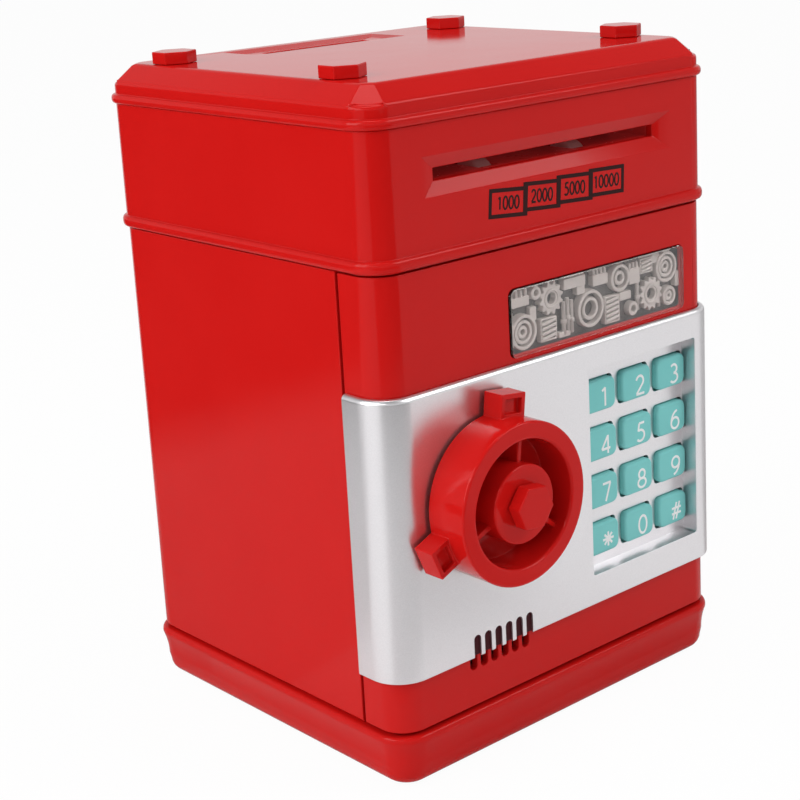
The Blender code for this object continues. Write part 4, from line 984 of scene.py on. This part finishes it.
def make_panel():
    """Silver panel that wraps the door's front, with its keypad tub."""
    grown = PANEL_PROUD
    profile = [
        (PANEL_LOW, grown - PANEL_ROUND),
        (PANEL_LOW + PANEL_NICK, grown - PANEL_NICK),
        (PANEL_LOW + PANEL_ROUND, grown),
    ]
    round_in, round_down = PANEL_TOP_ROUND
    for c, s in quarter(PANEL_TOP_STEPS):
        profile.append((PANEL_TOP - round_down * (1 - s), grown - round_in * (1 - c)))
    panel = cut(
        stack(BODY, profile), prism(storey(BODY, SEAT), 0, FAR), box(-FAR, FAR, PANEL_REAR, FAR, 0, FAR)
    )
    in_wall = (PANEL_FRONT + DOOR_FRONT - SEAT) / 2
    tub = front_plate(TUB_HALF, TUB_RADIUS, WELL, in_wall, TUB_REAR)
    floor_front = PANEL_FRONT + WELL_DEPTH
    floor_rear = floor_front + WELL_FLOOR
    well_low = soft_rect(wider(WELL_HALF, -WELL_DRAFT), WELL_RADIUS, WELL)
    well_high = soft_rect(WELL_HALF, WELL_RADIUS, WELL)
    well = loft([(well_low, floor_front), (well_high, PANEL_FRONT), (well_high, PANEL_FRONT - PAST)], "Y")
    holes = [key_hole(label, floor_front - PAST, floor_rear + PAST) for label in KEY_LABELS]
    vent_room = (VENT_SPAN + VENT_ROOM[0], VENT_REACH + VENT_ROOM[1])
    vents = (VENT_X, VENT_MIDDLE)
    panel = cut(
        join(panel, tub),
        front_plate(vent_room, VENT_ROOM_RADIUS, vents, PANEL_FRONT + VENT_SKIN, DOOR_FRONT),
        well,
        prism(well_high, floor_rear, 0, "Y"),
        *holes,
        cylinder(SHAFT_ROOM, PANEL_FRONT - PAST, DOOR_FRONT + PAST, "Y", DIAL),
        *vent_cutters(PANEL_FRONT - PAST, DOOR_FRONT),
    )
    nodes = ("front_panel",)
    piece(panel, "silver_front", "door", SILVER, nodes, edge=0.1, steps=FEW_STEPS)


def make_vent_shade_sheet():
    """Thin dark red sheet between the panel's vents and the door: painted shade of the red door seen
    through the vents, with a painted glow.
    """
    near = PANEL_FRONT + VENT_SKIN + SHADE_SHEET_GAP
    low, high = PANEL_LOW + PANEL_ROUND, VENT_TOP + SHADE_SHEET_GAP
    shade_sheet = box(VENT_X - VENT_SPAN, VENT_X + VENT_SPAN, near, near + SHADE_SHEET_THICK, low, high)
    piece(shade_sheet, "vent_shade_sheet", "door", VENT_SHADE_FINISH, edge=0.05)


# Window and the relief behind it

RELIEF_PLATE = 0.35
RELIEF_RADIUS = 1.5
RELIEF_SINK = 0.1
RING_WIDTH = 1.0
RING_EDGE = 0.25
RING_STEP = 0.3
COG_TOOTH = ((0.0, 0.8), (0.25, 1.0), (0.5, 1.0), (0.75, 0.8))
COG_HOLE = 0.35
COG_SUNK = 0.2
COG_RING = 0.62
COG_RING_WIDTH = 0.7
COG_RING_PROUD = 0.1
GRILLE_BORDER = 0.55
GRILLE_RADII = (0.4, 0.3)
GRILLE_SUNK = 0.5
SLAT_IN = 0.3
SLAT_SHARE = 0.32
SLAT_TILT = 0.14
SLAT_SUNK = 0.2
COMB_RADIUS = 0.35
COMB_SUNK = 0.3
TOOTH_SHARE = 0.28
TOOTH_HALF = 0.9
TOOTH_RADIUS = 0.2
TOOTH_LIFT = 0.7
TOOTH_SUNK = 0.6
BLOCK_RADIUS = 0.4
BLOCK_SUNK = 0.2
BLOCK_STEP = 0.3
PIPE_RADIUS = 0.6
PIPE_LENGTH = 9.0
PIPE_DROP = 7.4
PIPE_STAGGER = 0.8
PIPE_SUNK = 0.9
PIPE_POINTS = 14
COLLAR_RADIUS = 0.85
COLLAR_SPAN = (3.0, 4.2)

# Places from the window's middle, then sizes and counts
RELIEF_RINGS = (
    (-28.2, -3.4, (4.8, 3.3, 1.8)), (-2.6, -2.2, (5.2, 3.2)), (9.4, 4.0, (3.9, 2.1)),
    (28.6, 3.6, (4.5, 3.1, 1.7)), (29.6, -4.9, (2.8, 1.5)), (-23.4, 6.2, (1.9,)), (14.4, -5.6, (2.0,)),
)
RELIEF_COGS = ((-17.6, 3.6, 4.5, 12), (22.0, -2.9, 4.7, 13))
RELIEF_GRILLES = ((-18.6, -4.6, 3.1, 3.2, 4), (6.2, -4.2, 3.0, 3.8, 5), (20.6, 5.4, 2.6, 2.2, 3))
RELIEF_COMBS = ((-29.2, 4.8, 3.4, 1.3, 4), (1.6, 5.0, 3.0, 1.5, 4), (15.4, 3.4, 2.2, 2.2, 3))
RELIEF_BLOCKS = (
    (-8.6, 6.2, 4.2, 1.5), (-6.0, 3.6, 1.6, 1.3), (12.0, -1.6, 2.3, 1.2), (-33.0, 0.4, 0.9, 3.0),
    (24.6, 6.6, 1.6, 1.2), (-24.0, 0.6, 1.2, 1.9), (33.2, -0.6, 0.9, 2.2), (-12.6, -7.2, 2.2, 0.8),
)
RELIEF_PIPES = (-12.6, -11.1, -9.6, 16.8, 25.6)


def make_window():
    rim = soft_rect(WINDOW_HALF, WINDOW_RADIUS, WINDOW)
    face = rounded_face(WINDOW_HALF, WINDOW_RADIUS, WINDOW, lens_low.y, LENS_ROUND, LENS_STEPS)
    lens = loft([(rim, lens_high.y)] + face, "Y")
    piece(lens, "window_cover", "door", WINDOW_CLEAR, ("window_lens",))


def ring(radius, width, near, far, centre):
    profile = ((radius, far), (radius, near + RING_EDGE), (radius - RING_EDGE, near))
    return cut(
        turned(profile, "Y", centre, SMALL_POINTS),
        cylinder(radius - width, near - PAST, far + PAST, "Y", centre),
    )


def cog(radius, teeth, near, far, centre):
    """Toothed wheel with a round hole."""
    outline = []
    for i in range(teeth):
        for share, reach in COG_TOOTH:
            a = 2 * math.pi * (i + share) / teeth
            r = radius * reach
            outline.append((centre[0] + r * math.cos(a), centre[1] + r * math.sin(a)))
    wheel = prism(outline, near, far, "Y")
    return cut(wheel, cylinder(COG_HOLE * radius, near - PAST, far + PAST, "Y", centre))


def grille(half, slats, near, far, centre):
    """Framed louvre of slanting slats."""
    border = front_plate(half, GRILLE_RADII[0], centre, near + GRILLE_SUNK, far)
    inner = wider(half, -GRILLE_BORDER)
    shapes = [cut(border, front_plate(inner, GRILLE_RADII[1], centre, near - PAST, far + PAST))]
    pitch = 2 * (half[1] - GRILLE_BORDER) / slats
    slat = turned_points(plain_rect((half[0] - SLAT_IN, SLAT_SHARE * pitch)), SLAT_TILT)
    for z in row_places(centre[1], pitch, slats):
        shapes.append(prism([(centre[0] + u, z + v) for u, v in slat], near + SLAT_SUNK, far, "Y"))
    return shapes


def comb(half, teeth, near, far, centre):
    """Block with a row of upright teeth."""
    shapes = [front_plate(half, COMB_RADIUS, centre, near + COMB_SUNK, far)]
    pitch = 2 * half[0] / teeth
    for x in row_places(centre[0], pitch, teeth):
        spot = (x, centre[1] + half[1] + TOOTH_LIFT)
        tooth = (TOOTH_SHARE * pitch, TOOTH_HALF)
        shapes.append(front_plate(tooth, TOOTH_RADIUS, spot, near + TOOTH_SUNK, far))
    return shapes


def relief_shapes(crest, root):
    """Make-believe works behind the window: dials, cogs, louvres, combs, blocks and pipes."""
    x0, z0 = WINDOW
    shapes = []
    for x, z, radii in RELIEF_RINGS:
        for i, radius in enumerate(radii):
            shapes.append(ring(radius, RING_WIDTH, crest + RING_STEP * i, root, (x0 + x, z0 + z)))
    for x, z, radius, teeth in RELIEF_COGS:
        spot = (x0 + x, z0 + z)
        shapes.append(cog(radius, teeth, crest + COG_SUNK, root, spot))
        shapes.append(ring(COG_RING * radius, COG_RING_WIDTH, crest - COG_RING_PROUD, root, spot))
    for draw, layout in ((grille, RELIEF_GRILLES), (comb, RELIEF_COMBS)):
        for x, z, half_x, half_z, count in layout:
            shapes += draw((half_x, half_z), count, crest, root, (x0 + x, z0 + z))
    for i, (x, z, half_x, half_z) in enumerate(RELIEF_BLOCKS):
        near = crest + BLOCK_SUNK + BLOCK_STEP * (i % 3)
        shapes.append(front_plate((half_x, half_z), BLOCK_RADIUS, (x0 + x, z0 + z), near, root))
    for i, x in enumerate(RELIEF_PIPES):
        foot = z0 - PIPE_DROP + PIPE_STAGGER * (i % 2)
        spot = (x0 + x, crest + PIPE_SUNK)
        collar = [foot + lift for lift in COLLAR_SPAN]
        shapes.append(cylinder(PIPE_RADIUS, foot, foot + PIPE_LENGTH, "Z", spot, PIPE_POINTS))
        shapes.append(cylinder(COLLAR_RADIUS, *collar, "Z", spot, PIPE_POINTS))
    return shapes


def make_relief():
    low, high = node_box("relief_plate")
    half = node_face("relief_plate")[1]
    ground = high.y - RELIEF_PLATE
    plate = front_plate(half, RELIEF_RADIUS, WINDOW, ground, high.y)
    piece(plate, "relief_ground", "door", RELIEF_DARK, ("relief_plate",), edge=0.1)
    works = gather(*relief_shapes(low.y + RELIEF_SINK, ground + RELIEF_SINK))
    piece(works, "relief_works", "door", RELIEF, edge=0.2, steps=FEW_STEPS)


# Keys and their figures

FIGURE_WIDE = 0.6
FIGURE_SIZE = (3.3, 5.3)
FIGURE_PEN = 0.72
FIGURE_THICK = 0.16
FIGURE_SHIFT = (1.4, -0.7)
HASH_LEAN = 0.14
STAR_RAY = 0.4


def figure_strokes(label):
    """Pen strokes of a figure in a box one high and FIGURE_WIDE wide."""
    bowl = arc_points((0.3, 0.31), (0.3, 0.31), 0, 360, 28)
    strokes = {
        "0": [arc_points((0.3, 0.5), (0.3, 0.5), 0, 360, 32)],
        "1": [[(0.34, 0.0), (0.34, 1.0)], [(0.36, 0.99), (0.12, 0.84)]],
        "2": [arc_points((0.28, 0.71), (0.27, 0.29), 165, -35) + [(0.03, 0.03)], [(0.0, 0.0), (0.6, 0.0)]],
        "3": [
            arc_points((0.25, 0.76), (0.25, 0.24), 140, -88),
            arc_points((0.25, 0.26), (0.3, 0.26), 92, -145),
        ],
        "4": [[(0.46, 0.0), (0.46, 1.0)], [(0.46, 0.98), (0.0, 0.28)], [(0.0, 0.27), (0.62, 0.27)]],
        "5": [
            [(0.54, 1.0), (0.15, 1.0)],
            [(0.16, 1.0), (0.09, 0.57)],
            arc_points((0.24, 0.31), (0.31, 0.31), 118, -140),
        ],
        "6": [bowl, arc_points((0.52, 0.31), (0.52, 0.69), 180, 97)],
        "7": [[(0.0, 1.0), (0.58, 1.0)], [(0.56, 0.99), (0.2, 0.0)]],
        "8": [
            arc_points((0.3, 0.75), (0.23, 0.25), 0, 360, 24),
            arc_points((0.3, 0.26), (0.3, 0.26), 5, 365, 28),
        ],
    }
    strokes["9"] = [[(FIGURE_WIDE - u, 1.0 - v) for u, v in stroke] for stroke in strokes["6"]]
    angles = [math.pi * i / 4 for i in range(4)]
    rays = [(STAR_RAY * math.sin(a), STAR_RAY * math.cos(a)) for a in angles]
    strokes["star"] = [[(0.3 + s * u, 0.5 + s * v) for s in (-1, 1)] for u, v in rays]
    strokes["hash"] = [[(u - HASH_LEAN, 0.02), (u + HASH_LEAN, 0.98)] for u in (0.18, 0.42)]
    strokes["hash"] += [[(-0.06, v), (0.66, v)] for v in (0.34, 0.66)]
    return strokes[label]


def raised_strokes(strokes, pen, thick, front):
    """Strokes laid on the plane at front, facing -Y, as low flattened ridges."""
    curve = bpy.data.curves.new("strokes", "CURVE")
    curve.dimensions = "3D"
    curve.bevel_depth = pen / 2
    curve.bevel_resolution = 2
    curve.use_fill_caps = True
    for stroke in strokes:
        closed = math.dist(stroke[0], stroke[-1]) < WELD
        points = stroke[:-1] if closed else stroke
        spline = curve.splines.new("POLY")
        spline.use_cyclic_u = closed
        spline.points.add(len(points) - 1)
        for point, (u, v) in zip(spline.points, points):
            point.co = (u, 0.0, v, 1.0)
    drawn = new_object(curve)
    mesh = evaluated_mesh(drawn)
    bpy.data.objects.remove(drawn, do_unlink=True)
    for vertex in mesh.vertices:
        vertex.co.y = front + vertex.co.y * thick / pen
    return new_object(mesh)


def figure_at(label, size, centre, angle=0.0):
    """A figure's strokes scaled to (width, height) and set about its centre."""
    strokes = []
    for stroke in figure_strokes(label):
        scaled = [((u - FIGURE_WIDE / 2) * size[0] / FIGURE_WIDE, (v - 0.5) * size[1]) for u, v in stroke]
        strokes.append(turned_points(scaled, angle, centre))
    return strokes


def make_key(label):
    """Key cap with softly rounded edges, its retaining flange and a printed figure."""
    node = f"key_{label}"
    body = f"{node}_cap"
    low, high = node_box(node)
    spot, (half_x, half_z) = node_face(node)
    half = (half_x, half_z - KEY_FLANGE)
    flange = soft_rect((half[0] - KEY_FLANGE_IN, half[1] + KEY_FLANGE), KEY_RADIUS, spot)
    cap = soft_rect(half, KEY_RADIUS, spot)
    sections = [(flange, high.y), (flange, high.y - KEY_FLANGE_THICK), (cap, high.y - KEY_FLANGE_THICK)]
    sections += rounded_face(half, KEY_RADIUS, spot, low.y, KEY_ROUND, KEY_STEPS)
    piece(loft(sections, "Y"), f"{node}_button", body, AQUA, (node,))
    place = (spot[0] + FIGURE_SHIFT[0], spot[1] + FIGURE_SHIFT[1])
    strokes = figure_at(label, FIGURE_SIZE, place)
    figure = raised_strokes(strokes, FIGURE_PEN, FIGURE_THICK, low.y)
    piece(figure, f"{node}_figure", body, WHITE_PRINT)


# Labels under the slot

LABELS = ("1000", "2000", "5000", "10000")
LABEL_X = -17.2
LABEL_PITCH = 12.3
LABEL_DROP = 10.65
LABEL_Z = SLOT_Z - LABEL_DROP
LABEL_HALF = (6.95, 3.85)
LABEL_LINE = 1.05
LABEL_STEP = 0.004
LABEL_TILT = math.radians(-5.2)
LABEL_TILT_STEP = math.radians(0.9)
LABEL_FIGURE = (1.5, 3.2)
LABEL_FIGURE_PITCH = 2.05
LABEL_PEN = 0.6
LABEL_THICK = 0.12


def make_labels():
    """Printed boxes that overlap like steps, each with a plain sum."""
    front = HOUSING_FRONT
    near, far = front - LABEL_THICK / 2, front + LABEL_THICK / 2
    for i, text in enumerate(LABELS):
        centre = (LABEL_X + LABEL_PITCH * i, LABEL_Z)
        tilt = LABEL_TILT + LABEL_TILT_STEP * i
        outer = turned_points(plain_rect(LABEL_HALF), tilt, centre)
        inner = turned_points(plain_rect(wider(LABEL_HALF, -LABEL_LINE)), tilt, centre)
        plate = prism(outer, near - LABEL_STEP * i, far, "Y")
        border = cut(plate, prism(inner, near - PAST, far + PAST, "Y"))
        strokes = []
        for figure, shift in zip(text, row_places(0.0, LABEL_FIGURE_PITCH, len(text))):
            spot = turned_points([(shift, 0.0)], tilt, centre)[0]
            strokes += figure_at(figure, LABEL_FIGURE, spot, tilt)
        figures = raised_strokes(strokes, LABEL_PEN, LABEL_THICK, front)
        piece(gather(border, figures), f"label_{text}", "cabinet", DARK_PRINT)


# Dial


def dial_prism(outline, near, far):
    return prism(turned_points(outline, DIAL_TURN, DIAL), near, far, "Y")


def spoke(r0, r1, half, angle):
    return turned_points(rectangle(r0, r1, -half, half), angle)


def make_dial():
    floor = DIAL_REAR - DIAL_BACK
    in_floor = DIAL_REAR - DIAL_BACK / 2
    angles = [math.pi / 2 + 2 * math.pi * i / LUG_COUNT for i in range(LUG_COUNT)]
    rim = [(DIAL_RADIUS, DIAL_REAR)] + rounded_end(DIAL_RADIUS, DIAL_FRONT, DIAL_ROUND, -1)
    mouth = [
        (DIAL_INNER, floor),
        (DIAL_INNER, DIAL_FRONT + DIAL_MOUTH),
        (DIAL_INNER + DIAL_MOUTH, DIAL_FRONT - MOUTH_PAST),
        (DIAL_INNER + DIAL_MOUTH, DIAL_FRONT - PAST),
    ]
    knob = cut(turned(rim, "Y", DIAL), turned(mouth, "Y", DIAL))
    lug_front = DIAL_REAR - LUG_HEIGHT
    ring_mid = (DIAL_RADIUS + DIAL_INNER) / 2
    lugs = [dial_prism(spoke(ring_mid, LUG_TIP, LUG_HALF, a), lug_front, DIAL_REAR) for a in angles]
    web_foot, web_front = HUB_RADIUS - WEB_ROOT, DIAL_FRONT + WEB_SUNK
    webs = [dial_prism(spoke(web_foot, ring_mid, WEB_THICK / 2, a), web_front, in_floor) for a in angles]
    hub = [(HUB_RADIUS, in_floor)] + rounded_end(HUB_RADIUS, DIAL_FRONT + HUB_SUNK, HUB_ROUND, -1)
    knob = join(knob, turned(hub, "Y", DIAL), *lugs, *webs)
    pocket_half = LUG_HALF - LUG_RIM
    pockets = [spoke(DIAL_RADIUS + LUG_RIM / 2, LUG_TIP - LUG_RIM, pocket_half, a) for a in angles]
    knob = cut(knob, *[dial_prism(p, lug_front - PAST, lug_front + LUG_POCKET) for p in pockets])
    piece(knob, "dial_wheel", "dial", RED, ("dial_knob",), edge=0.28)
    nut_low, nut_high = node_box("dial_nut")
    nut = dial_prism(circle(NUT_FLATS / math.sqrt(3), count=6), nut_low.y, nut_high.y)
    piece(nut, "dial_hex_nut", "dial", RED, ("dial_nut",), edge=0.35)


# Rollers, screws and other small works

ROLLER_ROUND = 0.7
ROLLER_BORE = 1.9
ROLLER_POINTS = 48
SCREW_HEAD = 2.6
SCREW_SHANK = 1.2
SCREW_DOME = 0.4
SCREW_HEAD_THICK = {"Y": 1.3, "Z": 0.9}
SCREW_POINT = 0.8
SCREW_TIP = 0.3
CROSS_HALF = (1.5, 0.32)
CROSS_DEPTH = 0.7
CROSS_TURN = 0.4


def make_rollers():
    for label in ("drive", "pinch"):
        for i in (1, 2):
            node = f"{label}_roller_{i}"
            low, high = node_box(node)
            middle = node_middle(node)
            centre = (middle.y, middle.z)
            end = rounded_end((high.z - low.z) / 2, high.x, ROLLER_ROUND, 1)
            profile = [(r, low.x + high.x - x) for r, x in reversed(end)] + end
            roller = cut(
                turned(profile, "X", centre, ROLLER_POINTS),
                cylinder(ROLLER_BORE, low.x - PAST, high.x + PAST, "X", centre),
            )
            piece(roller, f"{node}_tyre", f"{label}_rollers", ROLLER_RUBBER_PAINTED_GLOW, (node,))


def make_screw(node, body, axis):
    """Pan-head screw with a cross recess; the head is at the top of Y or the foot of Z."""
    low, high = node_box(node)
    middle = node_middle(node)
    if axis == "Y":
        centre, face, tip, sign = (middle.x, middle.z), high.y, low.y, -1
    else:
        centre, face, tip, sign = (middle.x, middle.y), low.z, high.z, 1
    under = face + sign * SCREW_HEAD_THICK[axis]
    profile = [
        (SCREW_HEAD - SCREW_DOME, face),
        (SCREW_HEAD, face + sign * SCREW_DOME),
        (SCREW_HEAD, under),
        (SCREW_SHANK, under),
        (SCREW_SHANK, tip - sign * SCREW_POINT),
        (SCREW_TIP, tip),
    ]
    screw = turned(profile, axis, centre, SMALL_POINTS)
    near, far = face - CROSS_DEPTH, face + CROSS_DEPTH
    turns = (CROSS_TURN, CROSS_TURN + math.pi / 2)
    arms = [prism(turned_points(plain_rect(CROSS_HALF), a, centre), near, far, axis) for a in turns]
    screw = cut(screw, *arms)
    piece(screw, f"{node}_head", body, STEEL, (node,), edge=0.08, steps=FEW_STEPS)


def make_fastenings():
    for i in range(1, 5):
        make_screw(f"door_cover_screw_{i}", "door", "Y")
        make_screw(f"base_screw_{i}", "cabinet", "Z")
    make_screw("battery_cover_screw", "cabinet", "Z")


# Nodes that keep their own shape: finish, soft edge and names
DRESSED = (
    (RED, 0.25, ("bottom_plate", "battery_cover", "door_back_cover")),
    (NYLON, 0.15, ("lock_disc",)),
    # The feeder frame's dark red is painted shade
    (SLOT_SHADE_RED, 0.15, ("feeder_frame",)),
    (NYLON, 0.0, ("drive_gear", "motor_pinion")),
    (STEEL, 0.15, ("dial_shaft", "shaft_ring", "latch_tongue", "strike_plate")),
    (STEEL, 0.15, ("lock_solenoid", "lock_plunger", "drive_shaft", "pinch_shaft", "feed_motor")),
    (BOARD, 0.1, ("keypad_board", "control_board")),
    (DARK_RUBBER, 0.15, ("keypad_mat",)),
    (BLACK, 0.2, ("speaker",)),
)


def dress_inner_works():
    for finish, edge, nodes in DRESSED:
        for node in nodes:
            dress_node(node, finish, edge)


# Stage, light and camera, in metres

FLOOR_REACH = 8.0
FLOOR_DROP = 0.0003
FLOOR_WHITE = 0.965
FLOOR_GLOSS = 0.60
# Reach over which the floor's glow to gloss fades in: painted shade near the object
FLOOR_PAINTED_SHADE_REACH = (0.08, 0.15)
FLOOR_GREY = (0.80, 0.80, 0.80, 1.0)
MAT_REACH = 2.6
MAT_STEPS = 12
MAT_GREY = (0.60, 0.60, 0.60)
MAT_DARK = (0.05, 0.05, 0.05)
MAT_FADE = 0.07
GREY_LIFT = 0.0004
DARK_LIFT = 0.0008
STAGE_ROUGH = 0.9
REAR_EDGE = 0.21
REAR_RIGHT = -0.08

# Mats that only gloss sees, painted dark reflections, as name, first and last angle in degrees, and nearest
# reach
GREY_MATS = (
    ("left_grey_mat", 105, 168, 0.08),
    ("camera_grey_mat", 212, 292, 0.13),
    ("right_grey_mat", 335, 400, 0.09),
)
DARK_MAT = ("camera_dark_mat", 212, 292, 0.42)


def seen_rays(tree):
    """Two masks: rays from the camera, and rays from gloss or through clear plastic."""
    path = tree.nodes.new("ShaderNodeLightPath").outputs
    mirrored = math_node(tree, "MAXIMUM", path["Is Glossy Ray"], path["Is Transmission Ray"])
    return path["Is Camera Ray"], mirrored


def distance_out(tree):
    """How far a point of the floor or of a mat lies from the middle of the object."""
    length = tree.nodes.new("ShaderNodeVectorMath")
    length.operation = "LENGTH"
    tree.links.new(coords_of(tree), length.inputs[0])
    return length.outputs["Value"]


def rear_distance(tree):
    return axes_of(tree, coords_of(tree))["Y"]


def lay_sheet(name, outline, height, finish):
    mesh = bpy.data.meshes.new(name)
    mesh.from_pydata([(x, y, height) for x, y in outline], [], [tuple(range(len(outline)))])
    mesh.materials.append(finish)
    return new_object(mesh, name)


def make_floor():
    finish, tree, shader = new_finish("pale_floor")
    settle(shader, Base_Color=FLOOR_GREY, Roughness=STAGE_ROUGH, Specular_IOR_Level=0.1)
    glow = tree.nodes.new("ShaderNodeEmission")
    camera, gloss = seen_rays(tree)
    white = math_node(tree, "MULTIPLY", camera, FLOOR_WHITE)
    # Glow seen by gloss fades out near the object: painted shade in the object's reflections of the floor
    past_painted_shade = ramp(tree, distance_out(tree), *FLOOR_PAINTED_SHADE_REACH)
    paler = math_node(tree, "MULTIPLY", gloss, math_node(tree, "MULTIPLY", past_painted_shade, FLOOR_GLOSS))
    mask = math_node(tree, "ADD", white, paler)
    show_mix(tree, mask, shader.outputs["BSDF"], glow.outputs["Emission"])
    floor = lay_sheet("studio_floor", plain_rect((FLOOR_REACH, FLOOR_REACH)), -FLOOR_DROP, finish)


def sector(start, end, near):
    outer = arc_points((0.0, 0.0), (MAT_REACH, MAT_REACH), start, end, MAT_STEPS)
    return outer + arc_points((0.0, 0.0), (near, near), end, start, MAT_STEPS)


def lay_reflection_mat(name, outline, lift, fade=None):
    """Mat on the floor that only gloss sees, a painted dark reflection; with a fade (socket maker, place),
    it turns dark there.
    """
    finish, tree, shader = new_finish(name)
    settle(shader, Base_Color=(*MAT_GREY, 1.0), Roughness=STAGE_ROUGH, Specular_IOR_Level=0.0)
    if fade:
        mask = ramp(tree, fade[0](tree), fade[1], fade[1] + MAT_FADE)
        tree.links.new(two_tone(tree, mask, MAT_GREY, MAT_DARK), shader.inputs["Base Color"])
    mat = lay_sheet(name, outline, lift, finish)
    mat.visible_camera = False
    mat.visible_diffuse = False
    mat.visible_shadow = False


def make_reflection_mats():
    for name, start, end, near in GREY_MATS:
        lay_reflection_mat(name, sector(start, end, near), GREY_LIFT)
    name, start, end, near = DARK_MAT
    lay_reflection_mat(name, sector(start, end, near), DARK_LIFT, (distance_out, near))
    rear = rectangle(-MAT_REACH, REAR_RIGHT, REAR_EDGE, MAT_REACH)
    lay_reflection_mat("rear_dark_mat", rear, DARK_LIFT, (rear_distance, REAR_EDGE))


WORLD_FILL = 0.36
WORLD_GLOSS = (0.77, 0.30)
WORLD_GLOSS_RISE = (0.2, 0.7)


def make_world():
    """White to the camera; to gloss, a pale wall that darkens towards the ceiling."""
    world = bpy.data.worlds.new("studio")
    bpy.context.scene.world = world
    world.use_nodes = True
    tree = world.node_tree
    background = tree.nodes["Background"]
    settle(background, Color=(1.0, 1.0, 1.0, 1.0))
    height = ramp(tree, axes_of(tree, coords_of(tree, "Generated"))["Z"], *WORLD_GLOSS_RISE)
    wall = between(tree, height, *WORLD_GLOSS)
    camera, gloss = seen_rays(tree)
    strength = WORLD_FILL
    for mask, seen in ((gloss, wall), (camera, 1.0)):
        blend = tree.nodes.new("ShaderNodeMix")
        tree.links.new(mask, blend.inputs["Factor"])
        feed(tree, blend.inputs["A"], strength)
        feed(tree, blend.inputs["B"], seen)
        strength = blend.outputs["Result"]
    tree.links.new(strength, background.inputs["Strength"])


OBJECT_MIDDLE = (0.0, 0.0, 0.09)

# Lamps as name, place, aim, width, height and watts
LAMPS = (
    ("left_soft_box", (-1.15, 0.12, 0.75), OBJECT_MIDDLE, 0.9, 1.0, 9.3),
    ("front_soft_box", (0.59, -0.80, 0.91), OBJECT_MIDDLE, 0.68, 0.68, 6.3),
    ("low_strip_box", (-0.50, -0.12, 0.40), (-0.45, -0.11, 0.0), 0.7, 0.12, 0.9),
    ("top_soft_box", (0.0, 0.05, 1.25), OBJECT_MIDDLE, 0.5, 0.5, 2.8),
)


def make_lights():
    for name, place, aim, width, height, watts in LAMPS:
        lamp = bpy.data.lights.new(name, "AREA")
        lamp.shape = "RECTANGLE"
        lamp.size = width
        lamp.size_y = height
        lamp.energy = watts
        obj = new_object(lamp, name)
        obj.location = place
        obj.rotation_euler = (Vector(aim) - Vector(place)).to_track_quat("-Z", "Y").to_euler()


# Camera that was fitted to the photo; distance and aim in millimetres
CAMERA_TURN = math.radians(-41.536)
CAMERA_LIFT = math.radians(14.758)
CAMERA_ROLL = math.radians(-2.858)
CAMERA_DISTANCE = 520.9
CAMERA_AIM = (8.248, 0.0, CASE_LOW + 86.107)
CAMERA_SENSOR = 36.0
CAMERA_LENS = 79.3214
CAMERA_SHIFT = (-0.05, -0.0875)
CAMERA_NEAREST = 0.01


def make_camera():
    back = Vector((
        math.sin(CAMERA_TURN) * math.cos(CAMERA_LIFT),
        -math.cos(CAMERA_TURN) * math.cos(CAMERA_LIFT),
        math.sin(CAMERA_LIFT),
    ))
    right = Vector((0, 0, 1)).cross(back).normalized()
    up = back.cross(right)
    across = right * math.cos(CAMERA_ROLL) + up * math.sin(CAMERA_ROLL)
    above = up * math.cos(CAMERA_ROLL) - right * math.sin(CAMERA_ROLL)
    camera = bpy.data.cameras.new("photo_camera")
    camera.sensor_width = CAMERA_SENSOR
    camera.lens = CAMERA_LENS
    camera.shift_x, camera.shift_y = CAMERA_SHIFT
    camera.clip_start = CAMERA_NEAREST
    obj = new_object(camera, "photo_camera")
    turn = Matrix((across, above, back)).transposed().to_4x4()
    eye = (Vector(CAMERA_AIM) + back * CAMERA_DISTANCE) * MM
    obj.matrix_world = Matrix.Translation(eye) @ turn
    bpy.context.scene.camera = obj


make_camera()
make_floor()
make_reflection_mats()
make_world()
make_lights()
bpy.context.scene.view_settings.view_transform = "Standard"

make_base()
make_rear_case()
make_upper_housing()
make_bill_guide()
make_top_cover()
make_corner_bolts()
make_door()
make_panel()
make_vent_shade_sheet()
make_window()
make_relief()
for key_label in KEY_LABELS:
    make_key(key_label)
make_labels()
make_dial()
make_rollers()
make_fastenings()
dress_inner_works()
